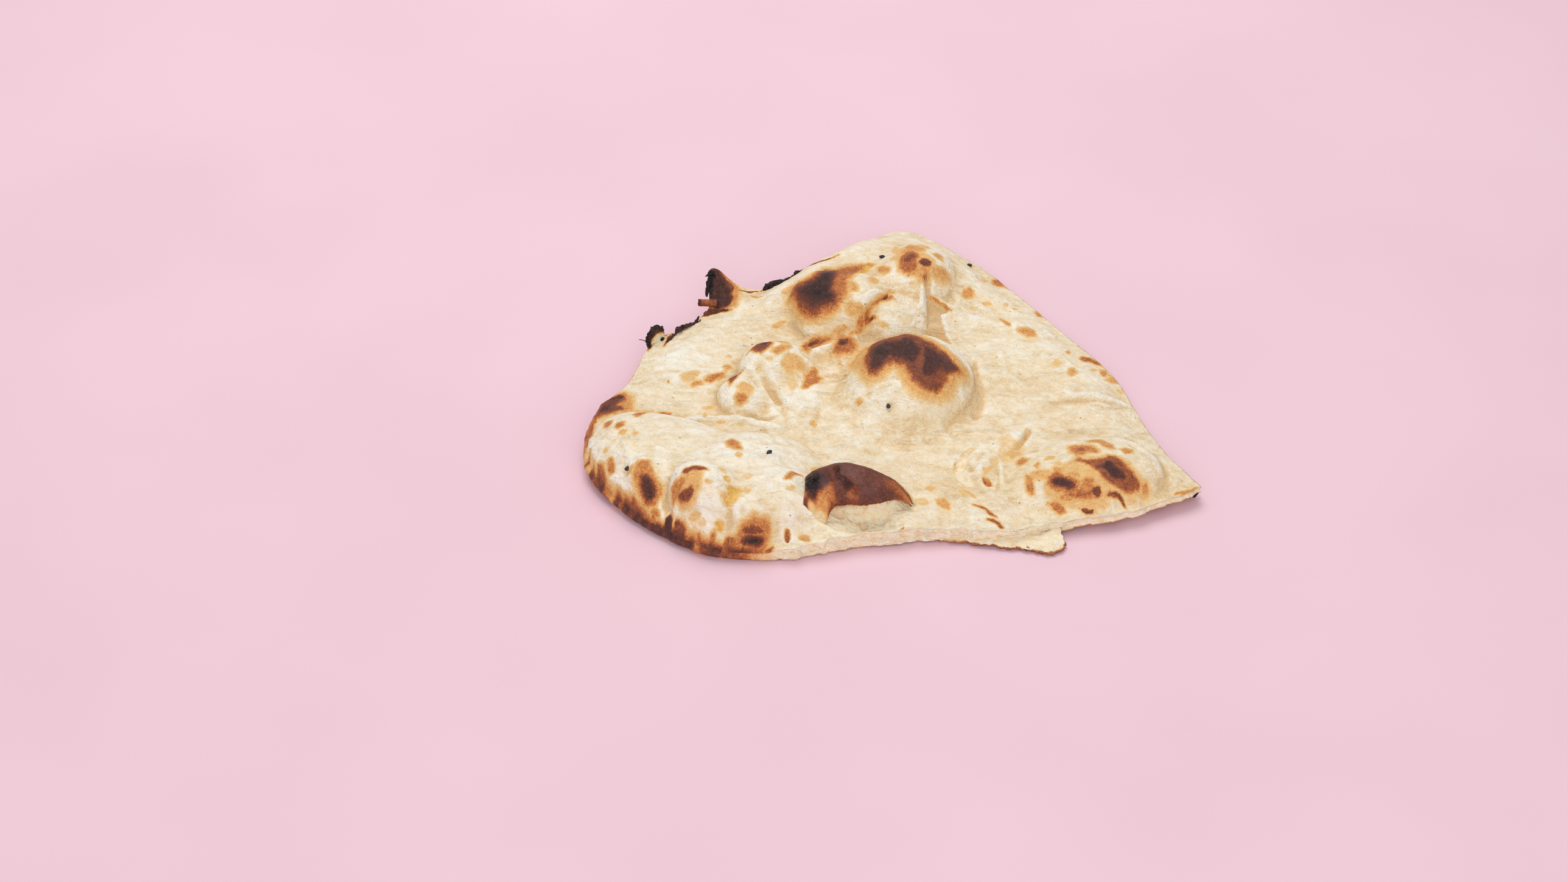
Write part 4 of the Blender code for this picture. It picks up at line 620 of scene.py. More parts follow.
    (0.41, 0.78, [(-57, -70.5), (-55, -70), (-52, -68.5), (-50, -69), (-47, -68.5), (-46.5, -70.5), (-47, -73), (-48.5, -75.5), (-49.5, -76.5), (-50.5, -76.5), (-56.5, -76), (-58.5, -75.5), (-59, -73), (-58, -71.5)]),
    (0.8, 0.7, [(-57, -72.4), (-54.8, -71.8), (-52.6, -71.8), (-49.8, -72), (-48.6, -72.8), (-48.2, -73.8), (-49.6, -75.2), (-51.4, -75.8), (-53.8, -75.2), (-55.8, -74.8), (-57.2, -73.6)]),
    (0.95, 0.6, [(-55.8, -73.2), (-53.8, -73), (-51, -73), (-49.6, -73.8), (-50.8, -74.6), (-53.4, -74.6), (-55.4, -74.2)]),
    (0.6, 0.4, [(-57.2, -71.4), (-55.2, -70.8), (-52.4, -70.8), (-49.8, -71), (-48.6, -72), (-51.4, -72.2), (-54.8, -72.2)]),
    (0.2, 0.65, [(-74.6, -66.6), (-73, -66.4), (-71.6, -67.2), (-72.4, -67.6), (-73.8, -67.2)]),
    (0.16, 0.52, [(-71.2, -68.6), (-70.4, -68.6), (-69.8, -69), (-70.6, -69)]),
    (0.23, 0.52, [(-31.4, -37.4), (-30.4, -35.8), (-27.8, -34.4), (-29.6, -36.2)]),
    (0.18, 0.52, [(-40.4, -56.8), (-39, -55.6), (-38, -55.8), (-39.2, -57.2)]),
    (0.31, 0.59, [(13.6, -51), (16, -50), (18, -53.4), (17.8, -56), (15.4, -55), (14, -53)]),
    (0.22, 0.52, [(10, -43.4), (11.6, -42.6), (12.8, -43.6), (11.8, -45.2)]),
    (0.16, 0.65, [(6.4, -50.8), (9, -50.6), (10.2, -52.4), (7.4, -52.6)]),
    (0.2, 0.52, [(22, -45.6), (23.2, -45), (24.4, -48.2), (23.4, -49.4)]),
    (0.18, 0.39, [(25, -22.6), (26.4, -21.2), (28.2, -21.4), (27.2, -22.4), (26.2, -24.4), (24, -26), (23.4, -25.4)]),
    (0.2, 0.33, [(20.8, -30.6), (22.4, -29), (22.6, -31), (21.2, -32.8)]),
    (0.16, 0.39, [(23, -41.4), (25.2, -41.4), (27.4, -42.2), (27, -43.6), (24.4, -44.2)]),
    (0.38, 0.33, [(30.6, -38.6), (32.2, -39), (33.2, -40.6), (34, -43), (32.2, -42.8), (31, -41.6)]),
    (0.14, 0.78, [(38, -25.4), (39.4, -21), (39.4, -16), (40.8, -15.6), (42.8, -18.6), (45, -18.6), (46, -23.6), (43.6, -27.4), (41.2, -29.8), (39, -29.4)]),
    (0.23, 0.52, [(41, -23.2), (42.8, -22.2), (44.2, -23.6), (43.4, -26.4), (41.8, -27.4), (41.2, -26.2)]),
    (0.18, 0.52, [(39, -24), (39.8, -23.2), (40.6, -25.8), (40.2, -28.8), (39, -29.4)]),
    (0.18, 0.65, [(31.8, -34.6), (34, -33.4), (32.6, -36), (31.4, -37)]),
    (0.14, 0.78, [(34.4, -28.4), (36.2, -26.6), (36, -30.4), (34.8, -32.2)]),
    (0.27, 0.39, [(44.4, -23.8), (45, -24), (45.2, -25), (44.6, -25.2)]),
    (0.66, 0.7, [(-113.2, -7), (-111.8, -0.8), (-110.2, 3.6), (-107.6, 7.2), (-102.6, 8.8), (-100.4, 5), (-103, 1.4), (-100.2, -2.6), (-104.2, -3.8), (-108.8, -4.4)]),
    (0.36, 1.04, [(-107.2, 7.6), (-102, 9.6), (-99, 4.8), (-98.4, -2.4), (-102, -4.2), (-104.8, 0)]),
    (0.5, 0.78, [(-114.4, -10.6), (-113.6, -6.6), (-112, -10.2), (-112.2, -21.2), (-114.2, -20.8)]),
    (0.84, 0.6, [(-75.5, 62.5), (-75.5, 77.5), (-68, 79), (-63.4, 73.5), (-61.4, 70.5), (-61.4, 66), (-62.8, 61.8), (-68, 61)]),
    (0.36, 0.9, [(-76.5, 61.5), (-76.5, 79.5), (-67, 80.5), (-61, 74.5), (-59.2, 70.5), (-59.6, 66), (-61, 60.8), (-68, 60)]),
    (1, 0.5, [(-76, 64), (-76, 79), (-69, 79), (-67.8, 73), (-69.6, 69), (-70.2, 64.5)]),
]
# Toasted lines: half width, depth of toasting, width of the fade, then the points they run through
STROKES = [
    (0.6, 0.84, 0.5, [(-107.5, 4.5), (-104.5, 6.5), (-102, 7)]),
    (1.6, 0.62, 0.9, [(-108.5, -41.5), (-104, -47.5), (-101.5, -50), (-96.5, -55), (-90, -60.5), (-84, -65.5), (-76.5, -70.5), (-69.5, -73.5), (-61, -75.5)]),
    (0.8, 0.93, 0.6, [(-108.5, -41.5), (-103.5, -48), (-100.5, -51), (-96.5, -55), (-89.5, -61), (-82.5, -66), (-76.5, -70.5), (-69.5, -73.5), (-60.5, -75.5)]),
    (0.8, 0.72, 0.7, [(-113.5, -29), (-113, -34), (-110, -39.5)]),
    (0.4, 0.6, 0.35, [(-59.5, 71), (-57, 71.5), (-53, 73), (-51, 72.5)]),
    (0.6, 0.34, 0.4, [(-54.5, 69.5), (-52.5, 67), (-50.5, 66)]),
    (0.8, 0.9, 0.5, [(-50.5, 73), (-49, 75), (-45.5, 78), (-42.5, 79.5), (-39, 82.5), (-36.5, 84.5), (-35, 87), (-32, 89), (-29, 83.5), (-25.5, 82), (-20.5, 85)]),
    (0.8, 0.62, 0.4, [(-74, 57.5), (-71, 59), (-67, 59.5), (-62, 59)]),
    (0.8, 0.86, 0.5, [(-84, 47.5), (-81.5, 50), (-79, 52.5), (-76.5, 55)]),
    (0.4, 0.56, 0.35, [(-88, 38), (-87, 41), (-85.5, 44.5), (-84.5, 47)]),
    (0.6, 0.8, 0.5, [(-93.5, 36), (-93, 39), (-91.5, 40.5), (-90, 43), (-88, 43.5), (-86.5, 46)]),
    (0.6, 0.48, 0.4, [(27, -54), (29.5, -55), (31.5, -56.5), (33.5, -58.5), (35, -60)]),
    (0.6, 0.54, 0.4, [(31.5, -61), (33.5, -61.5), (35.5, -63), (37, -64.5)]),
    (0.5, 0.4, 0.6, [(100, -46.5), (104, -45.5), (109, -42.5)]),
    (0.6, 0.5, 0.6, [(-49, -76.5), (-47, -75.5), (-45.5, -74.5)]),
    (0.8, 0.7, 0.4, [(37, -75.5), (45.5, -76), (54, -76.5)]),
    (0.8, 0.9, 0.5, [(-114.5, -10.5), (-115, -13.5), (-115, -18)]),
    (0.4, 0.26, 0.4, [(24, -46), (27, -49.5)]),
    (0.24, 0.26, 0.3, [(-22.8, 39.4), (-19.8, 39.8), (-16.8, 39.8)]),
    (0.64, 0.42, 0.5, [(14.8, 59.8), (17.8, 58.8), (19.8, 58.2), (22.6, 57.2)]),
    (0.24, 0.28, 0.4, [(-99.6, -4), (-96.2, -2.8), (-90.6, -2)]),
    (0.2, 0.22, 0.35, [(20.2, -35.8), (21.2, -30.2), (24.2, -26)]),
    (0.16, 0.24, 0.3, [(48.8, -10.8), (48.6, -12.8), (46.4, -17.8), (44.6, -21)]),
    (0.14, 0.14, 0.3, [(39.6, -16.8), (39.8, -19), (38.6, -21.8)]),
    (0.16, 0.16, 0.4, [(14, 57.8), (13.8, 60.8), (13.4, 61.6), (13.6, 63.4)]),
    (1, 0.74, 0.7, [(-113.2, -29.2), (-111.8, -36.2), (-109.2, -40.6), (-103.6, -47.4), (-97.4, -54), (-90.8, -60.2), (-84, -65.6), (-77.6, -69.8), (-69.6, -73.8), (-60.8, -75.4)]),
]

# Outlines of the thin window, the crescent tear, its lower end and the small hole
WINDOW = [(13.4, 56.6), (14.8, 59.6), (18, 58.6), (19.8, 58), (22.6, 57), (22.2, 56), (19, 53.6), (20.4, 47.4), (21, 44.2), (22.8, 40), (22, 38.6), (18.6, 38), (15.4, 38.2), (12.2, 38.6), (13, 47.6), (13.2, 52.4)]
TEAR = [(29.6, -20.6), (28.2, -21.4), (26.4, -21), (25, -22.4), (23.8, -24.8), (22.4, -26.2), (21.4, -28.4), (20.8, -31.4), (20.6, -34.2), (21.8, -33.8), (23, -34.8), (24.4, -33.8), (25.2, -30.6), (25.8, -27.8), (26, -25), (27.2, -22)]
TEAR_LOW = [(20.2, -35.8), (21.8, -35.6), (23.6, -35.6), (25, -37.6), (26.4, -39), (27.4, -40.8), (27.4, -43.2), (26.2, -43.8), (24, -42.8), (22.6, -40.6), (21, -38.2)]
HOLE = [(30.6, -38.6), (32.2, -39), (33.2, -40.6), (34, -43), (32.2, -42.8), (31, -41.6)]
# Sharp ridges (+) and creases (-): height, half width, points
SHARP_LINES = [
    (0.9, 0.9, [(11, 52.4), (11, 55.8), (11.6, 58.8), (12.6, 62.8)]),
    (-1.4, 0.8, [(14, 57.8), (13.8, 60.8), (13.4, 61.6), (13.6, 63.4), (15, 66)]),
    (-0.9, 0.9, [(10.6, 53.8), (10.8, 58), (11.6, 60.6)]),
    (-0.8, 0.8, [(11.4, 38.2), (12.8, 47.4), (12.8, 52.6)]),
    (0.5, 0.8, [(14.8, 60), (17.8, 58.8), (19.6, 58.2), (22.6, 57.4)]),
    (0.4, 0.9, [(22.6, 55.2), (19.6, 53.2), (21, 47.2), (21.4, 44), (23.4, 40)]),
    (-0.6, 0.9, [(21, 59.2), (22.8, 64.4), (23.6, 68.4)]),
    (-0.9, 0.8, [(48.8, -10.6), (48.6, -12.8), (46.4, -17.8), (44.6, -21), (41.6, -29.4)]),
    (-0.5, 0.7, [(39.6, -16.8), (39.8, -19), (38.2, -21.8), (38.4, -28.8)]),
    (0.6, 0.9, [(31, -21.4), (33.8, -24.4), (36.4, -24.6), (38.2, -23)]),
    (-0.6, 0.8, [(29.6, -25.6), (33, -28.4), (36.2, -27.4), (35.4, -32.2), (32.4, -36.8)]),
    (-0.7, 0.8, [(36, -32.4), (36.4, -36.2), (36.4, -41.4), (35.2, -46)]),
    (0.6, 0.9, [(37.6, -32.6), (37.8, -38.2), (37.6, -42.4)]),
    (-0.7, 1, [(-51.8, 18), (-50.8, 14.2), (-48.8, 10), (-46.2, 6.2), (-43, -1.4)]),
    (-0.6, 0.9, [(-60.8, -1.4), (-55.8, -3.6), (-51, -4.6)]),
    (-0.7, 0.9, [(-38.6, 40.2), (-34, 24.8), (-30, 23.6)]),
    (-0.5, 0.8, [(-35.2, 3.8), (-32.2, 8.6), (-28, 15.6), (-23, 17.4), (-16.2, 13.4)]),
    (0.5, 1, [(-55.8, 15.6), (-53.4, 15.6), (-51.8, 17)]),
    (-0.9, 1, [(31, 29.6), (31, 24.2), (30.6, 10.6)]),
    (0.5, 1.2, [(21.6, 38), (27, 30.4), (30.2, 27.8)]),
    (-0.8, 1.4, [(-10.6, 2.4), (-10.4, -0.6), (-9.6, -3.8)]),
    (-0.6, 1, [(84.2, -26), (87.6, -30.4), (91.4, -33.6), (94.2, -36)]),
    (0.4, 1, [(72.2, 4.2), (80, 2.8), (88.8, 7.4)]),
    (-0.5, 0.9, [(71.8, 2.4), (79.8, 2), (88.6, 5.8)]),
    (-0.6, 0.9, [(-54.4, -4.2), (-49.8, -10.6), (-45.2, -24.2), (-43, -30)]),
    (0.5, 0.9, [(-67.2, -5.6), (-61.4, -5.6), (-55.2, -7.2), (-50.6, -10.6)]),
    (-0.5, 0.8, [(-99.4, -38.6), (-99.2, -42.6), (-98.6, -47.8), (-96, -53)]),
    (-0.9, 0.9, [(-83.8, -50.4), (-84.8, -54.2), (-84.4, -59.4)]),
    (-0.6, 0.5, [(-92.2, -53.6), (-89.8, -54), (-86.8, -55)]),
    (-0.6, 0.5, [(-91.8, -55), (-89.8, -55.6), (-87.2, -56.2)]),
    (0.6, 0.5, [(-92.4, -54.2), (-89.8, -55), (-87.2, -55.6)]),
    (-0.5, 0.5, [(-91.6, -55.6), (-89.8, -56.2), (-87.8, -56.4)]),
    (-0.5, 1.2, [(-38.6, 56.2), (-39, 53), (-37.6, 48), (-35.2, 42.8)]),
]
# Soft bumps (+) and dents (-): x, y, reach along, reach across, turn, height
BUMPS = [
    (30.6, -33, 4.5, 6, 0, 1.3),
    (44.8, -16, 4, 5, 0, 0.8),
    (25.8, -36.6, 2, 2, 0, 0.5),
    (20.2, 44, 4, 5, 20, -0.8),
    (-0.8, 42, 5, 3, 20, 0.7),
    (0, 4.4, 3, 4.5, 0, -1),
    (18.4, 63.6, 4, 5, 0, -1.2),
    (-64.6, 54.8, 6, 5, 20, 0.5),
    (16.4, 7.8, 4, 3, 0, 0.7),
    (-8, 13.8, 5, 5, 0, 0.6),
]


# Fat stains: x, y, half length, half width, turn, strength
STAINS = [(-12.5, 72.0, 5.0, 1.6, 35, 1.0), (-9.0, 76.5, 2.6, 1.2, 20, 0.8), (-63.5, -51.0, 2.0, 3.0, 0, 0.75), (-61.5, -55.5, 1.6, 2.2, 0, 0.95), (-60.5, -62.6, 4.6, 2.6, 10, 0.85), (-59.3, -59.3, 3.0, 2.2, 0, 1.0), (-64.3, -69.7, 2.0, 1.6, 0, 0.95),
          (-67.0, -62.0, 1.6, 2.0, 0, 0.35), (-70.5, -58.5, 1.5, 1.8, 0, 0.35), (-60.5, -61.0, 4.0, 2.2, 0, 0.25)]
# Tint of the dough: x, y, half length, half width, turn, warmer (+) or whiter (-); the warm spot at (2, -14) is painted
# shade at the front foot of blister C
TINTS = [(-66, -46, 20, 16, 0, -0.48), (-38, -44, 22, 12, 0, -0.40), (-52, -28, 24, 10, 0, -0.25), (-72, 45, 14, 10, 0, 0.05), (-78, 26, 18, 16, 0, -0.1), (2, -8, 20, 10, 0, -0.15), (-30, 4, 20, 14, 0, -0.1),
         (100, -40, 10, 10, 0, 0.45), (-20, 95, 30, 12, 40, 0.25), (30, 60, 20, 26, 0, -0.15), (70, 30, 26, 20, -50, -0.1), (66, 0, 24, 14, -20, 0.15), (30, -35, 14, 12, 0, 0.05), (-100, -20, 14, 24, 0, 0.1), (-78, 29, 12, 9, 0, -0.75), (27, -44, 14, 9, 0, 0.75), (89, -41, 10, 9, 0, 0.85), (2, -14, 12, 7, 0, 0.55), (53, 13, 16, 10, 0, 0.18)]
# Floor of the torn blister, where the crumb shows
CAVITY = [(-35.0, -57.0), (-33.0, -50.0), (-22.0, -46.0), (-8.0, -47.5), (2.0, -50.5), (6.5, -53.0), (6.5, -57.0), (3.5, -60.5), (-2.0, -63.5), (-4.0, -72.0), (-30.0, -76.0), (-33.0, -69.0), (-30.0, -66.0), (-31.5, -62.0)]
# Hollows in its crumb: x, y, reach along x, reach along y, depth
HOLLOWS = [(-14.0, -62.6, 16.0, 6.0, 2.6), (-22.5, -59.8, 2.6, 1.4, 1.2), (-13.2, -62.2, 1.4, 2.2, 1.3), (-7.3, -60.6, 2.6, 1.0, 0.6), (-2.7, -62.4, 0.9, 1.6, 1.2), (0.2, -66.0, 0.6, 1.6, 0.8), (-30.0, -68.2, 2.2, 0.9, 1.0), (-24.5, -69.5, 2.4, 1.0, 0.5), (-40.5, -71.5, 1.0, 1.6, 1.6), (-34.0, -71.2, 2.6, 1.0, 1.0)]


# ---------------------------------------------------------------- building in Blender

def to_scene(p):
    """Table millimetres to scene metres."""
    p = np.asarray(p, float)
    return (p - np.array([CENTRE[0], CENTRE[1], 0.0])) * MM


def new_mesh(name, verts, faces, attributes=None, uv=None):
    """A smooth-shaded mesh object from arrays; faces is a list of index arrays of equal-length faces."""
    mesh = bpy.data.meshes.new(name)
    faces = [np.asarray(f, np.int32) for f in faces if len(f)]
    loops = np.concatenate([f.ravel() for f in faces])
    sizes = np.concatenate([np.full(len(f), f.shape[1]) for f in faces])
    starts = np.concatenate([[0], np.cumsum(sizes)[:-1]])
    mesh.vertices.add(len(verts))
    mesh.vertices.foreach_set("co", np.asarray(verts, np.float32).ravel())
    mesh.loops.add(len(loops))
    mesh.loops.foreach_set("vertex_index", loops.astype(np.int32))
    mesh.polygons.add(len(sizes))
    mesh.polygons.foreach_set("loop_start", starts.astype(np.int32))
    mesh.update(calc_edges=True)
    mesh.validate()
    for key, values in (attributes or {}).items():
        layer = mesh.attributes.new(key, 'FLOAT', 'POINT')
        layer.data.foreach_set("value", np.asarray(values, np.float32).ravel())
    if uv is not None:
        layer = mesh.uv_layers.new(name="UVMap")
        index = np.empty(len(mesh.loops), np.int32)
        mesh.loops.foreach_get("vertex_index", index)
        layer.data.foreach_set("uv", np.asarray(uv, np.float32)[index].ravel())
    mesh.shade_smooth()
    obj = bpy.data.objects.new(name, mesh)
    bpy.context.scene.collection.objects.link(obj)
    return obj


def ring_of(index):
    """A grid's border in the outline's order."""
    return np.concatenate([index[:-1, 0], index[-1, :-1], index[:0:-1, -1], index[0, :0:-1]])


def fine_rim(nu, nv):
    """The outline with the small unevenness of a baked, cut or torn edge."""
    loop, normal = rim(nu, nv)
    x, y, crust = loop[:, 0], loop[:, 1], np.clip(loop[:, 4], 0, 1)
    torn = np.clip(1 - 2.5 * crust, 0, 1) * step(-30, -45, y)
    cut = np.clip(1 - 2.5 * crust, 0, 1) * (1 - step(-30, -45, y))
    shift = crust * (0.55 * noise(x, y, 6.0, 61) + 0.35 * noise(x, y, 2.4, 62))
    shift += torn * (1.3 * noise(x, y, 7.0, 63) + 0.8 * noise(x, y, 2.6, 64) + 0.35 * noise(x, y, 1.2, 65))
    shift += cut * (0.5 * noise(x, y, 9.0, 66) + 0.22 * noise(x, y, 2.2, 67))
    loop[:, :2] += normal * shift[:, None]
    loop[:, 3] *= 1 + 0.12 * noise(x, y, 5.0, 68)
    return loop, normal


def fine_edge(loop, normal, rows):
    """The edge's cross-section, from just under the top skin to just over the lower one."""
    lift, thick, crust, lip = loop[:, 2], loop[:, 3], np.clip(loop[:, 4], 0, 1), loop[:, 5]
    out, over = np.maximum(lip, 0), np.minimum(lip, 0)
    x, y = loop[:, 0], loop[:, 1]
    made = []
    for k in range(1, rows + 1):
        t = k / (rows + 1)
        bulge = crust * 0.35 * thick * math.sin(math.pi * t)
        groove = -(1 - crust) * np.minimum(1.3, 0.24 * thick) * (math.sin(math.pi * t) ** 0.7)
        z = lift + thick * (1 - t)
        grain = 0.5 * noise(x, y, 2.2, 71, z * 2.2) + 0.35 * noise(x, y, 1.1, 72, z * 2.2)
        grain = grain * (0.25 * crust + (1 - crust) * 0.9) * math.sin(math.pi * t) * np.clip(thick / 4, 0.3, 1)
        reach = -crust * 0.35 * thick * (1 if k in (0,) else 1) + bulge
        shift = reach + groove + grain + out * step(0.25, 0.95, t) + over * step(0.3, 1.0, t)
        made.append((loop[:, :2] + normal * shift[:, None], z))
    tuck = -crust * 0.35 * thick
    upper = loop[:, :2] + normal * tuck[:, None]
    lower = loop[:, :2] + normal * (tuck + out + over)[:, None]
    return upper, made, lower


def crumb_map(x, y, dist, vals):
    """Where the top skin is torn away and the inner crumb shows."""
    crumb = step(-0.3, 0.6, inside(x + 0.4 * noise(x, y, 2.0, 11), y + 0.4 * noise(x, y, 2.0, 12), TEAR))
    crumb = np.maximum(crumb, step(-0.4, 0.5, inside(x, y, TEAR_LOW)))
    crumb = np.maximum(crumb, step(-0.6, 0.8, inside(x + 0.6 * noise(x, y, 3.0, 17), y + 0.6 * noise(x, y, 3.0, 18), CAVITY)))
    return crumb


def scorch_map(x, y, depth):
    """The burnt line along the lower left rim, by depth in from the rim."""
    there = step(-20, -34, y) * step(-43, -58, x) * np.clip(0.58 + 0.6 * noise(x, y, 9.0, 96) + 0.75 * noise(x, y, 3.4, 99) + 0.5 * step(-45, -62, y), 0.12, 1.0)
    d = depth + 0.9 * noise(x, y, 3.0, 97) + 0.5 * noise(x, y, 1.2, 98)
    return there * (0.30 * step(3.6, 1.2, d) + 0.44 * step(1.5, 0.0, d))


def make_bread(name):
    nu, nv = FINE_U, FINE_V
    loop, normal = fine_rim(nu, nv)
    upper, made, lower = fine_edge(loop, normal, EDGE_ROWS)
    top_xy = patch(upper, nu, nv, 60)
    under_xy = patch(lower[::2], nu // 2, nv // 2, 30)
    x, y = top_xy[..., 0], top_xy[..., 1]
    dist, vals = rim_values(x, y, loop)
    for edge in (dist, ):
        edge[[0, -1], :] = 0
        edge[:, [0, -1]] = 0
    z, _, lean = fine_heights(x, y, dist, vals)
    ux, uy = under_xy[..., 0], under_xy[..., 1]
    under_dist, under_vals = rim_values(ux, uy, loop)
    uz = underside(under_dist, under_vals) + 0.35 * (noise(ux, uy, 7, 81) + 0.25) * step(0, 6, under_dist) * step(0.2, 1.2, underside(under_dist, under_vals))
    uz = np.maximum(uz, 0.0)

    top = np.stack([x + lean[..., 0], y + lean[..., 1], z], -1).reshape(-1, 3)
    index = np.arange(len(top)).reshape(nu + 1, nv + 1)
    border = ring_of(index)
    top[border, 2] = loop[:, 2] + loop[:, 3]
    under = np.stack([ux, uy, uz], -1).reshape(-1, 3)
    under_index = np.arange(len(under)).reshape(nu // 2 + 1, nv // 2 + 1) + len(top)
    under_border = ring_of(under_index)
    under[under_border - len(top), 2] = loop[::2, 2]
    rows = [np.column_stack([xy, zz]) for xy, zz in made]
    count = len(loop)
    base = len(top) + len(under)
    row_index = [np.arange(count) + base + k * count for k in range(len(rows))]
    verts = np.vstack([top, under] + rows)

    a = index
    quads = [np.stack([a[:-1, :-1], a[1:, :-1], a[1:, 1:], a[:-1, 1:]], -1).reshape(-1, 4)]
    b = under_index
    quads.append(np.stack([b[:-1, :-1], b[:-1, 1:], b[1:, 1:], b[1:, :-1]], -1).reshape(-1, 4))
    chain = [border] + row_index
    for p, q in zip(chain[:-1], chain[1:]):
        quads.append(np.stack([p, q, np.roll(q, -1), np.roll(p, -1)], -1))
    last = chain[-1]
    e0, e1, e2 = last[::2], last[1::2], np.roll(last, -2)[::2]
    f0, f1 = under_border, np.roll(under_border, -1)
    tris = np.concatenate([np.stack([e0, f0, e1], -1), np.stack([e1, f0, f1], -1), np.stack([e1, f1, e2], -1)])

    heat_and_shade = np.maximum(heat_and_shade_map(x, y), scorch_map(x, y, dist)).ravel()
    crumb = crumb_map(x, y, dist, vals).ravel()
    edge_heat = heat_and_shade[border]
    crust = np.clip(loop[:, 4], 0, 1)
    ex, ey = loop[:, 0], loop[:, 1]
    heats, crumbs = [heat_and_shade, None], [crumb, None]
    uh = 0.42 * step(-0.05, 0.45, noise(ux, uy, 9.0, 91) + 0.5 * noise(ux, uy, 3.5, 92)) + 0.10
    heats[1] = uh.ravel()
    crumbs[1] = np.zeros(uh.size)
    for k in range(len(rows)):
        t = (k + 1) / (len(rows) + 1)
        baked = np.maximum(edge_heat * (1 - 0.25 * t) * (1 + 0.35 * noise(ex, ey, 2.6, 95, 3.0 * t)), crust * (0.20 + 0.30 * t + 0.35 * noise(ex, ey, 5.0, 93)))
        baked = np.maximum(baked, (scorch_map(ex, ey, 0 * ex) + 0.15 * noise(ex, ey, 1.8, 99, 3.0 * t)) * step(0.1, 0.5, scorch_map(ex, ey, 0 * ex)))
        torn = 0.05 + 0.25 * np.maximum(0, t - 0.8) / 0.2
        heats.append(np.clip(crust * baked + (1 - crust) * torn, 0, 1))
        crumbs.append(np.clip(1 - 1.6 * crust, 0, 1) * (1 if 0.1 < t < 0.9 else 0.5))
    attributes = {"toast_and_shade": np.concatenate(heats), "crumb": np.concatenate(crumbs),
                  "thin": np.concatenate([thin_map(x, y).ravel(), np.zeros(len(verts) - len(top))]),
                  "stain": np.concatenate([stain_map(x, y).ravel(), np.zeros(len(verts) - len(top))]),
                  # this attribute holds the dough's broad tint plus the painted shade in its folds and dips
                  "tint_and_shade": np.concatenate([(glow_map(x, y) + fold_shade(z)).ravel(), np.zeros(len(verts) - len(top))]),
                  "painted_sheen": np.zeros(len(verts))}
    return new_mesh(name, to_scene(verts), quads + [tris], attributes), loop


def thin_map(x, y):
    """Thin skin, where the bread is tan and waxy."""
    s = inside(x + 0.5 * noise(x, y, 2.4, 13), y + 0.5 * noise(x, y, 2.4, 14), WINDOW)
    return step(-0.4, 1.2, s) * (0.55 + 0.45 * step(52, 42, y))


def stain_map(x, y):
    """Spots of yellow fat."""
    total = np.zeros(x.shape)
    for cx, cy, a, b, turn, value in STAINS:
        c, s = math.cos(math.radians(turn)), math.sin(math.radians(turn))
        px, py = x + 0.7 * noise(x, y, 2.0, 15) - cx, y + 0.7 * noise(x, y, 2.0, 16) - cy
        q = ((px * c + py * s) / a) ** 2 + ((-px * s + py * c) / b) ** 2
        total = np.maximum(total, value * np.exp(-q * q * 0.9))
    return total


def hollows(z, rounds):
    """How far a grid's height lies below its surroundings, by comparing it with a smoothed copy."""
    s = z.copy()
    for _ in range(rounds):
        s[1:-1, 1:-1] += 0.2 * (s[:-2, 1:-1] + s[2:, 1:-1] + s[1:-1, :-2] + s[1:-1, 2:] - 4 * s[1:-1, 1:-1])
    return s - z


def fold_shade(z):
    """Painted shade: folds and dips get a warmer, darker tone than the floury high spots, standing in for the shade
    that falls in them.
    """
    return np.clip(1.5 * hollows(z, 8), -0.5, 0.9) + np.clip(0.55 * hollows(z, 60), -0.5, 0.9)


def glow_map(x, y):
    """Broad warm tint of the dough, from -1 (white, floury) to 1 (yellowish); one warm tint is painted shade at the
    front foot of blister C.
    """
    total = np.zeros(x.shape)
    for cx, cy, a, b, turn, value in TINTS:
        c, s = math.cos(math.radians(turn)), math.sin(math.radians(turn))
        px, py = x - cx, y - cy
        q = ((px * c + py * s) / a) ** 2 + ((-px * s + py * c) / b) ** 2
        total += value * np.exp(-q)
    return np.clip(total, -1, 1)


# ---------------------------------------------------------------- materials

def srgb(r, g, b):
    """A display colour (0 to 255) as linear RGBA."""
    out = []
    for c in (r, g, b):
        c /= 255
        out.append(c / 12.92 if c <= 0.04045 else ((c + 0.055) / 1.055) ** 2.4)
    return (*out, 1.0)


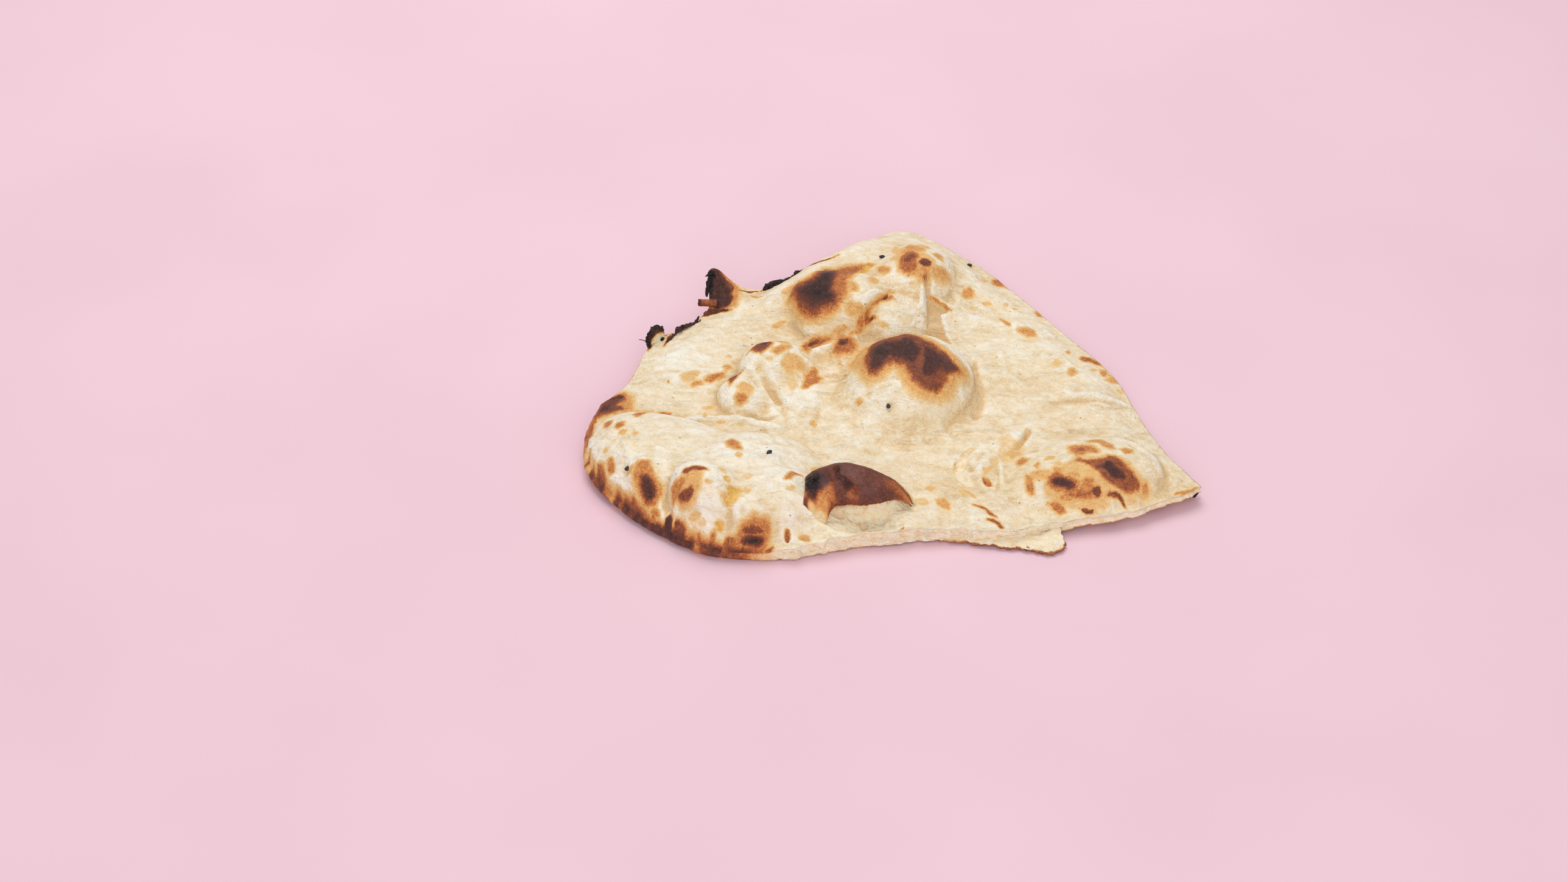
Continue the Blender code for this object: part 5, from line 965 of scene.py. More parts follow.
class Nodes:
    """Short calls for building a node tree."""

    def __init__(self, name):
        self.material = bpy.data.materials.new(name)
        self.material.use_nodes = True
        self.tree = self.material.node_tree
        self.shader = self.tree.nodes["Principled BSDF"]
        self.coords = self.tree.nodes.new("ShaderNodeTexCoord").outputs["Object"]

    def add(self, kind, inputs=(), **settings):
        node = self.tree.nodes.new(kind)
        for key, value in settings.items():
            setattr(node, key, value)
        for key, value in dict(inputs).items():
            if isinstance(value, bpy.types.NodeSocket):
                self.tree.links.new(value, node.inputs[key])
            else:
                node.inputs[key].default_value = value
        return node

    def attribute(self, name):
        return self.add("ShaderNodeAttribute", attribute_name=name).outputs["Fac"]

    def noise(self, size, detail=2.0, rough=0.5, vector=None, distortion=0.0):
        """Noise with features about size millimetres across."""
        return self.add("ShaderNodeTexNoise", {"Vector": vector or self.coords, "Scale": 1000.0 / size, "Detail": detail, "Roughness": rough, "Distortion": distortion}).outputs["Fac"]

    def math(self, operation, a, b=0.0, c=0.0, clamp=False):
        return self.add("ShaderNodeMath", {0: a, 1: b, 2: c}, operation=operation, use_clamp=clamp).outputs[0]

    def remap(self, value, low, high, to_low=0.0, to_high=1.0, smooth=True):
        return self.add("ShaderNodeMapRange", {"Value": value, "From Min": low, "From Max": high, "To Min": to_low, "To Max": to_high},
                        interpolation_type='SMOOTHSTEP' if smooth else 'LINEAR').outputs[0]

    def mix(self, factor, a, b, blend='MIX'):
        node = self.add("ShaderNodeMix", data_type='RGBA', blend_type=blend)
        for socket, value in ((node.inputs[0], factor), (node.inputs[6], a), (node.inputs[7], b)):
            if isinstance(value, bpy.types.NodeSocket):
                self.tree.links.new(value, socket)
            else:
                socket.default_value = value
        return node.outputs[2]

    def ramp(self, value, stops, interpolation='LINEAR'):
        node = self.add("ShaderNodeValToRGB", {"Fac": value})
        ramp = node.color_ramp
        ramp.interpolation = interpolation
        ramp.elements[0].position, ramp.elements[0].color = stops[0][0], stops[0][1]
        ramp.elements[1].position, ramp.elements[1].color = stops[-1][0], stops[-1][1]
        for position, colour in stops[1:-1]:
            ramp.elements.new(position).color = colour
        return node.outputs["Color"]

    def set(self, key, value):
        socket = self.shader.inputs[key]
        if isinstance(value, bpy.types.NodeSocket):
            self.tree.links.new(value, socket)
        else:
            socket.default_value = value


TOAST_RAMP = [(0.00, (244, 230, 202)), (0.08, (244, 220, 178)), (0.16, (240, 203, 144)), (0.26, (235, 184, 115)), (0.37, (217, 145, 80)), (0.48, (187, 106, 56)), (0.60, (141, 76, 50)),
              (0.72, (108, 61, 50)), (0.86, (82, 49, 43)), (0.94, (60, 41, 40)), (1.00, (30, 27, 28))]


def dough_material(name):
    n = Nodes(name)
    heat_and_shade, crumb, thin, stain, tint_and_shade, painted_sheen = (n.attribute(k) for k in ("toast_and_shade", "crumb", "thin", "stain", "tint_and_shade", "painted_sheen"))
    broad, patchy, fine, grain = n.noise(24, 3), n.noise(5.5, 4, 0.6), n.noise(1.3, 4, 0.65), n.noise(0.42, 2, 0.6)
    turned = n.add("ShaderNodeVectorRotate", {"Vector": n.coords, "Angle": math.radians(54)}, rotation_type='Z_AXIS').outputs[0]
    drawn = n.add("ShaderNodeVectorMath", {0: turned, 1: (0.22, 1.0, 1.0)}, operation='MULTIPLY').outputs[0]
    streak = n.noise(1.7, 3, 0.6, vector=drawn)
    rolled = n.add("ShaderNodeVectorMath", {0: n.coords, 1: (0.42, 1.0, 0.8)}, operation='MULTIPLY').outputs[0]
    fold = n.noise(4.2, 4, 0.58, distortion=1.3, vector=rolled)
    # dough: floury white to warm cream; the low parts of the fold bump are painted darker and warmer as painted shade
    # in its creases, and the tint attribute adds the painted shade of the mesh's folds and dips
    tone = n.math('MULTIPLY', broad, 0.35)
    for value, share in ((patchy, 0.70), (fine, 0.70), (grain, 0.45), (streak, 0.40), (n.math('SUBTRACT', 1.0, fold), 0.75), (tint_and_shade, 0.36)):
        tone = n.math('ADD', tone, n.math('MULTIPLY', value, share))
    tone = n.remap(tone, 1.26, 2.14, smooth=False)
    dough = n.ramp(tone, [(0.0, srgb(254, 247, 232)), (0.28, srgb(249, 236, 212)), (0.60, srgb(242, 221, 184)), (1.0, srgb(226, 194, 146))])
    flour = n.math('MULTIPLY', n.remap(n.noise(0.9, 3, 0.7), 0.56, 0.68), n.remap(n.noise(11, 3), 0.42, 0.62))
    dough = n.mix(n.math('MULTIPLY', flour, 0.55), dough, srgb(254, 248, 236))
    tan = n.math('MULTIPLY', n.remap(n.noise(2.4, 4, 0.7), 0.56, 0.70), n.remap(n.noise(14, 2), 0.45, 0.62))
    dough = n.mix(n.math('MULTIPLY', tan, 0.45), dough, srgb(222, 182, 130))
    # toasting, and the painted shade of the crumb's hollows and the torn edge's pits, with grain at its borders
    bell = n.math('MULTIPLY', n.math('MULTIPLY', heat_and_shade, n.math('SUBTRACT', 1.12, heat_and_shade)), 3.4)
    speckle = n.math('SUBTRACT', n.math('ADD', n.math('MULTIPLY', n.noise(0.6, 3, 0.75), 0.55), n.math('ADD', n.math('MULTIPLY', n.noise(1.6, 3, 0.65), 0.30), n.math('MULTIPLY', n.noise(3.4, 3, 0.6), 0.20))), 0.525)
    toasted = n.math('ADD', heat_and_shade, n.math('MULTIPLY', n.math('MULTIPLY', speckle, bell), 0.95), clamp=True)
    brown = n.ramp(toasted, [(p, srgb(*c)) for p, c in TOAST_RAMP])
    colour = n.mix(n.remap(toasted, 0.02, 0.18), dough, brown)
    # painted sheen: a pale grey-purple laid over the dark skin, standing for light caught on the glossy char
    colour = n.mix(n.math('MULTIPLY', painted_sheen, 0.55), colour, srgb(122, 92, 92))
    # tiny scattered brown specks, thicker on the ground in places
    for size, share, reach, strength in ((3.6, 0.55, 0.075, 0.8), (1.9, 0.80, 0.10, 0.65)):
        cells = n.add("ShaderNodeTexVoronoi", {"Vector": n.coords, "Scale": 1000.0 / size, "Randomness": 1.0})
        parts = n.add("ShaderNodeSeparateColor", {"Color": cells.outputs["Color"]})
        chosen = n.math('GREATER_THAN', n.math('ADD', parts.outputs[0], n.math('MULTIPLY', n.noise(16, 2), 0.5)), share + 0.25)
        edge = n.math('MULTIPLY', n.math('ADD', parts.outputs[1], 0.35), reach)
        speck = n.math('MULTIPLY', n.math('LESS_THAN', cells.outputs["Distance"], edge), chosen)
        colour = n.mix(n.math('MULTIPLY', speck, strength), colour, srgb(158, 100, 58))
    # thin waxy skin, crumb, fat
    colour = n.mix(n.math('MULTIPLY', thin, n.remap(patchy, 0.3, 0.6, 0.55, 0.95)), colour, srgb(219, 178, 124))
    inner = n.ramp(n.math('ADD', n.math('MULTIPLY', n.noise(2.6, 4, 0.6), 0.8), n.math('MULTIPLY', fine, 0.2)), [(0.28, srgb(240, 203, 157)), (0.45, srgb(254, 233, 197)), (0.60, srgb(255, 245, 219))])
    colour = n.mix(n.math('MULTIPLY', crumb, n.remap(heat_and_shade, 0.2, 0.5, 0.9, 0.25)), colour, inner)
    colour = n.mix(n.remap(stain, 0.15, 1.0, 0.0, 0.9), colour, n.ramp(n.noise(1.4, 3), [(0.3, srgb(250, 208, 88)), (0.6, srgb(226, 166, 58))]))
    n.set("Base Color", colour)
    rough = n.remap(toasted, 0.25, 0.85, 0.80, 0.38, smooth=False)
    rough = n.math('ADD', rough, n.math('MULTIPLY', n.math('SUBTRACT', fine, 0.5), 0.3), clamp=True)
    n.set("Roughness", n.math('SUBTRACT', rough, n.math('MULTIPLY', stain, 0.25), clamp=True))
    n.set("Specular IOR Level", 0.35)
    n.set("Subsurface Weight", 0.10)
    n.set("Subsurface Radius", (1.0, 0.6, 0.3))
    n.set("Subsurface Scale", 0.003)
    # grain
    height = n.math('ADD', n.math('MULTIPLY', grain, 0.22), n.math('MULTIPLY', n.noise(1.8, 3, 0.55), 1.0))
    height = n.math('ADD', height, n.math('MULTIPLY', streak, 0.7))
    height = n.math('ADD', height, n.math('MULTIPLY', fold, 3.2))
    pores = n.add("ShaderNodeTexVoronoi", {"Vector": n.coords, "Scale": 1000.0 / 1.4, "Randomness": 1.0}, feature='SMOOTH_F1').outputs["Distance"]
    height = n.math('ADD', height, n.math('MULTIPLY', pores, n.math('MULTIPLY', crumb, 0.6)))
    wrinkle = n.math('MULTIPLY', n.noise(2.3, 4, 0.6, distortion=1.6), n.remap(heat_and_shade, 0.40, 0.85, 0.0, 3.4))
    height = n.math('ADD', height, wrinkle)
    n.set("Normal", n.add("ShaderNodeBump", {"Height": height, "Strength": 0.75, "Distance": 0.0008}).outputs[0])
    return n.material


def floor_material():
    n = Nodes("floor_paint")
    n.set("Base Color", n.mix(n.remap(n.noise(120, 2), 0.3, 0.7), srgb(238, 203, 216), srgb(241, 207, 219)))
    n.set("Roughness", 0.9)
    n.set("Specular IOR Level", 0.2)
    return n.material


# ---------------------------------------------------------------- separate skins and loose bits

def normals_of(p):
    """Unit normals of a grid of points."""
    a, b = np.gradient(p, axis=0), np.gradient(p, axis=1)
    n = np.cross(a, b)
    return n / np.maximum(np.linalg.norm(n, axis=-1, keepdims=True), 1e-9)


def skin(name, outer, thickness, attributes, inner_attributes):
    """A thin closed skin: an outer grid, the same grid set in by its thickness, and the strip between their borders."""
    normal = normals_of(outer)
    inner = outer - normal * thickness[..., None]
    nu, nv = outer.shape[0] - 1, outer.shape[1] - 1
    index = np.arange((nu + 1) * (nv + 1)).reshape(nu + 1, nv + 1)
    count = index.size
    quads = np.stack([index[:-1, :-1], index[1:, :-1], index[1:, 1:], index[:-1, 1:]], -1).reshape(-1, 4)
    border = ring_of(index)
    strip = np.stack([border, border + count, np.roll(border, -1) + count, np.roll(border, -1)], -1)
    made = {}
    for key in ("toast_and_shade", "crumb", "thin", "stain", "tint_and_shade", "painted_sheen"):
        a, b = attributes.get(key, 0.0), inner_attributes.get(key, 0.0)
        made[key] = np.concatenate([np.broadcast_to(a, index.shape).ravel(), np.broadcast_to(b, index.shape).ravel()])
    verts = np.vstack([outer.reshape(-1, 3), inner.reshape(-1, 3)])
    return new_mesh(name, to_scene(verts), [quads, quads[:, ::-1] + count, strip], made)


def painted(x, y, base, paints):
    """A map over the plan: each paint (x, y, half length, half width, turn, value, hardness) pulls it towards its value."""
    value = np.array(np.broadcast_to(base, x.shape), float)
    wx = x + 0.7 * noise(x, y, 3.0, 51) + 0.3 * noise(x, y, 1.2, 52)
    wy = y + 0.7 * noise(x, y, 3.0, 53) + 0.3 * noise(x, y, 1.2, 54)
    for cx, cy, a, b, turn, target, hard in paints:
        c, s = math.cos(math.radians(turn)), math.sin(math.radians(turn))
        q = np.sqrt((((wx - cx) * c + (wy - cy) * s) / a) ** 2 + ((-(wx - cx) * s + (wy - cy) * c) / b) ** 2)
        w = 1 - step(hard, 2 - hard, q)
        value = value * (1 - w) + target * w
    return value


# The torn blister's skin: stations from left to right, each its back foot, ridge and front lip
CAP = [
    ((-34.0, -50.5, 12.0), (-34.1, -54.5, 16.6), (-34.9, -61.8, 14.4)),
    ((-34.5, -47.5, 10.0), (-33.6, -51.5, 17.6), (-32.9, -62.9, 13.2)),
    ((-33.0, -44.5, 6.5), (-32.4, -49.9, 18.3), (-31.5, -64.2, 11.2)),
    ((-29.5, -42.5, 6.6), (-30.2, -48.6, 18.9), (-29.3, -65.9, 9.2)),
    ((-25.5, -41.3, 6.6), (-27.0, -48.2, 20.0), (-26.6, -65.2, 9.3)),
    ((-20.5, -40.8, 6.6), (-22.8, -47.6, 21.4), (-24.2, -60.6, 11.6)),
    ((-15.0, -41.0, 6.6), (-18.0, -47.8, 21.3), (-20.0, -59.9, 12.5)),
    ((-10.0, -42.0, 6.6), (-13.0, -48.7, 20.6), (-14.5, -60.6, 13.2)),
    ((-5.0, -43.5, 6.6), (-8.0, -49.8, 19.2), (-9.0, -59.8, 13.4)),
    ((0.0, -45.5, 6.6), (-3.6, -51.0, 17.2), (-4.8, -57.6, 12.8)),
    ((3.5, -48.0, 6.6), (-0.2, -52.2, 14.8), (-0.9, -55.6, 11.4)),
    ((6.0, -50.5, 6.4), (2.2, -53.4, 12.2), (1.9, -55.0, 10.0)),
    ((7.2, -53.0, 6.2), (4.2, -54.4, 9.0), (4.2, -55.4, 8.2)),
]


def spline(points, t):
    """Positions at t (0 to 1 by station number) along a Catmull-Rom curve through rows of points."""
    p = np.asarray(points, float)
    a = np.concatenate([2 * p[:1] - p[1:2], p, 2 * p[-1:] - p[-2:-1]])
    w = np.clip(np.asarray(t, float), 0, 1) * (len(p) - 1)
    i = np.minimum(w.astype(int), len(p) - 2)
    f = (w - i).reshape((-1,) + (1,) * (p.ndim - 1))
    q0, q1, q2, q3 = a[i], a[i + 1], a[i + 2], a[i + 3]
    return 0.5 * (2 * q1 + (q2 - q0) * f + (2 * q0 - 5 * q1 + 4 * q2 - q3) * f ** 2 + (3 * q1 - q0 - 3 * q2 + q3) * f ** 3)


def cap_points(ns, nt):
    rows = np.array(CAP, float)
    across = spline(rows, np.linspace(0, 1, ns + 1))
    back, ridge, lip = across[:, 0], across[:, 1], across[:, 2]
    rise = ((ridge[:, 2] - 6.5) / 15)[:, None]
    m1 = 0.5 * (back + ridge) + np.array([0, 1.6, 2.6]) * rise
    m2 = 0.62 * ridge + 0.38 * lip + np.array([0.2, -1.7, 2.0]) * rise
    m3 = 0.22 * ridge + 0.78 * lip + np.array([0.2, -1.3, 1.2]) * rise
    profile = np.stack([back, m1, ridge + np.array([0, 0.6, 0]), m2, m3, lip], 1).transpose(1, 0, 2)
    p = spline(profile, np.linspace(0, 1, nt + 1)).transpose(1, 0, 2)
    return p


def make_cap(name):
    ns, nt = 170, 120
    p = cap_points(ns, nt)
    s, t = np.linspace(0, 1, ns + 1)[:, None] + 0 * p[..., 0], np.linspace(0, 1, nt + 1)[None] + 0 * p[..., 0]
    x, y, z = p[..., 0], p[..., 1], p[..., 2]
    n = -normals_of(p)
    # ragged lip
    ragged = 0.5 * noise(x, y, 4.2, 101) + 0.4 * noise(x, y, 1.3, 102)
    p = p + (np.stack([0 * x, -0.8 + 0 * y, -0.35 + 0 * z], -1)) * (ragged * step(0.86, 1.0, t) * step(0.22, 0.34, s))[..., None]
    bump = 0.30 * noise(x, y, 5.0, 103, z) + 0.16 * noise(x, y, 2.2, 104, z) + 0.07 * noise(x, y, 1.0, 105, z)
    for height, half, path in CAP_LINES:
        d, along = path_distance(x, y, path)
        bump = bump + 1.7 * height * np.exp(-(d / half) ** 2) * step(0, 0.12, along) * step(0, 0.15, 1 - along) * step(0.36, 0.44, t)
    facet = inside(x, y, CAP_FACET)
    bump = bump - 0.8 * step(0, 3.0, facet) * step(0.36, 0.44, t)
    r = np.random.default_rng(5)
    for _ in range(20):
        cx, cy = r.uniform(-34.0, -28.0), r.uniform(-59.0, -50.5)
        reach, height = r.uniform(0.7, 1.6), r.uniform(0.4, 1.0)
        bump = bump + height * np.maximum(1 - ((x - cx) ** 2 + (y - cy) ** 2) / reach ** 2, 0) ** 0.7 * step(0.40, 0.5, t)
    p = p + n * (bump * step(0.0, 0.12, t) * (1 - 0.6 * step(0.9, 1, t)) * step(0, 0.06, s))[..., None]
    base = 0.02 + 0.66 * step(0.16, 0.40, t + 0.05 * noise(x, y, 3.0, 106) + 0.03 * noise(x, y, 1.2, 107))
    toast_map = np.clip(painted(x, y, base, CAP_PAINT), 0, 1)
    toast_map = np.where(t > 0.37, toast_map, np.minimum(base, toast_map + 0.2))
    rim_fade = step(0.955, 1.0, t) * step(0.3, 0.4, s)
    toast_map = toast_map * (1 - 0.45 * rim_fade)
    # painted sheen on the dark skin over its lighter facet
    painted_sheen = np.clip(painted(x, y, 0.0, CAP_SHEEN), 0, 1) * step(0.37, 0.43, t)
    thick = np.full(x.shape, 0.9) * (1 - 0.55 * step(0.85, 1.0, t)) + 0.5 * (1 - step(0, 0.2, t))
    tint_and_shade = np.full(x.shape, 0.25)
    p, thick, toast_map, painted_sheen, tint_and_shade = (a[:, ::-1] for a in (p, thick, toast_map, painted_sheen, tint_and_shade))
    return skin(name, p, thick, {"toast_and_shade": toast_map, "painted_sheen": painted_sheen, "tint_and_shade": tint_and_shade}, {"crumb": 0.9, "toast_and_shade": 0.22, "tint_and_shade": 0.5})


# Creases and folds on the torn skin, its lighter facet and its colours
CAP_LINES = [
    (-1.0, 1.1, [(-22.6, -47.8), (-22.2, -50.5), (-20.6, -53.5), (-18.0, -56.2), (-15.5, -58.5)]),
    (0.7, 0.9, [(-24.6, -48.2), (-24.4, -51.5), (-23.6, -54.5)]),
    (0.6, 1.0, [(-19.8, -52.0), (-17.0, -54.8), (-14.0, -57.2)]),
    (-0.5, 0.9, [(-14.5, -50.5), (-12.0, -53.5), (-10.5, -57.0)]),
    (0.4, 1.0, [(-9.5, -50.8), (-8.0, -54.0), (-7.0, -57.0)]),
]
CAP_FACET = [(-22.0, -48.5), (-21.4, -51.5), (-19.0, -54.5), (-16.5, -56.5), (-14.5, -54.0), (-15.5, -50.5), (-18.5, -48.2)]
CAP_PAINT = [
    (-31.0, -53.5, 4.6, 4.6, 60, 0.97, 0.55),
    (-22.0, -51.0, 1.3, 3.2, 10, 0.82, 0.3),
    (-19.5, -54.6, 1.3, 3.4, 40, 0.80, 0.3),
    (-17.5, -51.0, 3.4, 2.8, 0, 0.64, 0.3),
    (-26.0, -58.2, 2.6, 3.4, 0, 0.42, 0.3),
    (-28.4, -61.4, 2.4, 3.6, 0, 0.34, 0.4),
    (-29.0, -64.6, 3.0, 1.9, 0, 0.14, 0.5),
    (-31.6, -62.2, 1.3, 2.2, 15, 0.14, 0.1),
    (-34.6, -57.8, 1.3, 2.0, 20, 0.50, 0.4),
    (-17.0, -58.0, 2.4, 1.8, 0, 0.55, 0.3),
    (-1.0, -53.6, 5.0, 2.2, -20, 0.52, 0.3),
    (3.6, -53.8, 2.6, 1.6, 0, 0.40, 0.3),
    (-8.0, -58.5, 5.0, 1.6, 20, 0.70, 0.2),
]
# Pale grey-purple patches on the torn skin's dark char, painted sheen of its lighter facet: x, y, half length, half
# width, turn, strength, hardness
CAP_SHEEN = [(-17.5, -50.8, 4.0, 3.0, -20, 0.9, 0.2), (-27.2, -54.2, 2.0, 2.4, 0, 0.7, 0.2), (-12.0, -56.0, 5.0, 3.0, 0, 0.4, 0.1)]

# The lower skin standing out under the torn front edge: stations from left to right, each its hidden root and its outer edge
TONGUE = [
    ((2.0, -61.0, 2.6), (3.0, -64.8, 1.9)),
    ((10.0, -61.5, 2.7), (10.5, -65.3, 1.8)),
    ((18.0, -60.0, 2.7), (18.5, -66.0, 1.7)),
    ((26.0, -60.0, 2.8), (26.7, -67.6, 1.6)),
    ((34.0, -61.0, 2.8), (34.8, -69.2, 1.5)),
    ((41.0, -60.5, 2.8), (42.5, -70.8, 1.4)),
    ((47.0, -58.5, 2.9), (49.0, -72.0, 1.4)),
    ((51.5, -57.5, 3.0), (54.5, -72.8, 1.4)),
    ((54.5, -57.0, 3.2), (58.0, -71.0, 1.5)),
    ((56.5, -57.0, 3.3), (59.5, -68.5, 1.8)),
]


def make_tongue(name):
    ns, nt = 190, 60
    rows = spline(np.array(TONGUE, float), np.linspace(0, 1, ns + 1))
    t = np.linspace(0, 1, nt + 1)[None, :, None]
    root, edge = rows[:, 0][:, None], rows[:, 1][:, None]
    p = root * (1 - t) + edge * t
    p[..., 2] += (1.3 * np.sin(math.pi * t[..., 0]) * 0.35)
    x, y = p[..., 0], p[..., 1]
    s, t = np.linspace(0, 1, ns + 1)[:, None] + 0 * x, t[..., 0] + 0 * x
    ragged = 1.1 * noise(x, y, 5.0, 111) + 0.9 * noise(x, y, 2.0, 112) + 0.4 * noise(x, y, 0.9, 113)
    p[..., 1] -= ragged * step(0.6, 1.0, t)
    p[..., 0] += (1.0 * noise(x, y, 2.4, 114) + 0.5 * noise(x, y, 1.1, 115)) * step(0.9, 1.0, s)
    z = 0.35 * noise(x, y, 5.0, 116) + 0.28 * noise(x, y, 2.0, 117) + 0.14 * noise(x, y, 1.0, 118)
    z += 0.4 * step(0.75, 0.95, t) * noise(x, y, 3.5, 119)
    p[..., 2] += z
    thick = 1.5 - 0.5 * step(0.8, 1.0, t) + 0.4 * noise(x, y, 4.0, 120)
    p[..., 2] = np.maximum(p[..., 2], thick + 0.15)
    toasted = 0.03 + 0.55 * step(0.90, 0.995, t + 0.05 * noise(x, y, 2.2, 121)) * step(0.1, 0.35, s) + 0.3 * step(0.965, 1.0, s) * step(0.5, 1, t)
    return skin(name, p[:, ::-1], thick[:, ::-1], {"toast_and_shade": toasted[:, ::-1], "crumb": np.full(x.shape, 0.75) * (1 - 0.6 * step(0.9, 1.0, t))[:, ::-1], "tint_and_shade": 0.1}, {"toast_and_shade": 0.5, "tint_and_shade": 0.5})


# Pits in the torn front edge: x, place down the face (0 top, 1 bottom), reach along x, reach down, depth
TORN_PITS = [(-38.5, 0.32, 0.7, 0.20, 2.0), (-35.0, 0.30, 2.2, 0.16, 1.0), (-31.0, 0.42, 1.8, 0.14, 0.8), (-26.2, 0.50, 1.3, 0.20, 1.2), (-44.0, 0.55, 2.6, 0.14, 0.6), (-50.0, 0.45, 2.0, 0.18, 0.7),
             (-17.0, 0.55, 2.2, 0.16, 0.7), (-9.0, 0.40, 1.6, 0.20, 0.8), (2.0, 0.55, 2.6, 0.16, 0.7), (13.0, 0.45, 2.2, 0.18, 0.8), (24.0, 0.55, 3.0, 0.15, 0.7), (37.0, 0.5, 2.6, 0.18, 0.8)]


def make_torn(name):
    """The crumb standing out of the torn front edge, in folds and pits."""
    loop, normal = fine_rim(FINE_U, FINE_V)
    keep = np.where((loop[:, 4] < 0.25) & (loop[:, 1] < -50) & (loop[:, 0] > -57) & (loop[:, 0] < 60))[0]
    gap = np.where(np.diff(keep) > 1)[0]
    if len(gap):
        runs = np.split(keep, gap + 1)
        keep = max(runs, key=len)
    fine_index = np.linspace(0, len(keep) - 1, 3 * len(keep))
    sample = lambda a: np.interp(fine_index, np.arange(len(keep)), a[keep])
    x0, y0, lift, thick = (sample(loop[:, k]) for k in range(4))
    nx, ny = sample(normal[:, 0]), sample(normal[:, 1])
    t = np.linspace(0, 1, 37)[None]
    x, y = x0[:, None] + 0 * t, y0[:, None] + 0 * t
    z = lift[:, None] + thick[:, None] * (0.985 - 0.97 * t)
    along = 0.45 * x
    slope = z * 2.0 + 0.35 * x
    shift = 0.85 * (1 - 2.2 * np.abs(noise(along, y * 0.45, 2.6, 301, slope))) + 0.75 * noise(x, y, 3.2, 302, z * 1.3) + 0.40 * noise(x, y, 1.3, 303, z * 1.6) + 0.12 * noise(x, y, 0.6, 304, z * 1.6)
    pit = np.zeros(x.shape)
    for cx, ct, rx, rt, depth in TORN_PITS:
        pit = np.maximum(pit, depth * np.exp(-(((x + 0.5 * noise(x, y, 1.8, 305, z) - cx) / rx) ** 2 + ((t - ct) / rt) ** 2) ** 1.5))
    hold = np.sin(math.pi * np.clip(t, 0, 1)) ** 0.5 * np.ones(x.shape)
    ends = step(0, 0.03, np.linspace(0, 1, len(x0)))[:, None] * step(0, 0.03, 1 - np.linspace(0, 1, len(x0)))[:, None]
    shift = (shift * np.clip(thick / 5, 0.35, 1)[:, None] - 0.5 * np.minimum(1.3, 0.24 * thick)[:, None] - pit + 0.25) * hold * ends - 0.9 * (1 - ends) - 0.1
    p = np.stack([x + nx[:, None] * shift, y + ny[:, None] * shift, z], -1)
    # the pits are painted tan by their depth, which is painted shade in the pits; the darker band at the bottom is the
    # baked underside
    toasted = 0.03 + 0.20 * np.clip(pit / 1.5, 0, 1) + 0.34 * step(0.90, 1.0, t + 0.03 * noise(x, y, 2.0, 306))
    crumb = np.clip(1.0 - 0.5 * step(0.9, 1.0, t), 0, 1) * np.ones(x.shape)
    return skin(name, p[:, ::-1], np.full(x.shape, 0.5), {"toast_and_shade": toasted[:, ::-1], "crumb": crumb[:, ::-1], "tint_and_shade": 0.0}, {"crumb": 1.0})


def blob(r, size, stretch, lumps):
    """A small irregular lump: an icosphere pushed about by noise."""
    mesh = bmesh.new()
    bmesh.ops.create_icosphere(mesh, subdivisions=3, radius=1.0)
    v = np.array([tuple(q.co) for q in mesh.verts])
    f = np.array([[q.index for q in face.verts] for face in mesh.faces])
    mesh.free()
    k = r.uniform(0, 500)
    push = 1 + lumps * (noise(v[:, 0] + k, v[:, 1], 0.9, 131, v[:, 2]) + 0.5 * noise(v[:, 0] + k, v[:, 1], 0.4, 132, v[:, 2]))
    return v * push[:, None] * np.array(stretch) * size, f


def turned(v, r, tilt=0.5):
    """A copy turned about Z, and tilted a little."""
    a, b, c = r.uniform(0, 2 * math.pi), r.uniform(-tilt, tilt), r.uniform(-tilt, tilt)
    rz = np.array([[math.cos(a), -math.sin(a), 0], [math.sin(a), math.cos(a), 0], [0, 0, 1]])
    rx = np.array([[1, 0, 0], [0, math.cos(b), -math.sin(b)], [0, math.sin(b), math.cos(b)]])
    ry = np.array([[math.cos(c), 0, math.sin(c)], [0, 1, 0], [-math.sin(c), 0, math.cos(c)]])
    return v @ (rz @ rx @ ry).T


class Ground:
    """Height of the finished top at any plan position."""

    def __init__(self):
        loop, _ = rim(FINE_U, FINE_V)
        self.loop = loop

    def __call__(self, x, y):
        x, y = np.atleast_1d(np.asarray(x, float)), np.atleast_1d(np.asarray(y, float))
        dist, vals = rim_values(x, y, self.loop)
        z, _, lean = fine_heights(x, y, dist, vals)
        return z


def gather(name, parts):
    """Joins (verts, faces) pairs into one piece."""
    verts, faces, base = [], [], 0
    for v, f in parts:
        verts.append(v)
        faces.append(f + base)
        base += len(v)
    verts = np.vstack(verts)
    groups = [f for f in faces]
    width = groups[0].shape[1]
    return new_mesh(name, to_scene(verts), [np.vstack(groups)])


# Nigella seeds: x, y
SEEDS = [(-3.0, 82.0), (32.0, 92.0), (-47.0, -37.0), (-3.0, -8.0), (-46.5, 38.0), (-98.2, -43.6)]


def seeds(name, ground):
    r = np.random.default_rng(11)
    parts = []
    for x, y in SEEDS:
        v, f = blob(r, 1.0, (1.25, 0.78, 0.70), 0.25)
        v[:, 1] *= 1 - 0.28 * np.clip(v[:, 0], -1, 1)
        v = turned(v, r, 0.3)
        parts.append((v + np.array([x, y, ground(x, y)[0] + 0.35]), f))
    return gather(name, parts)


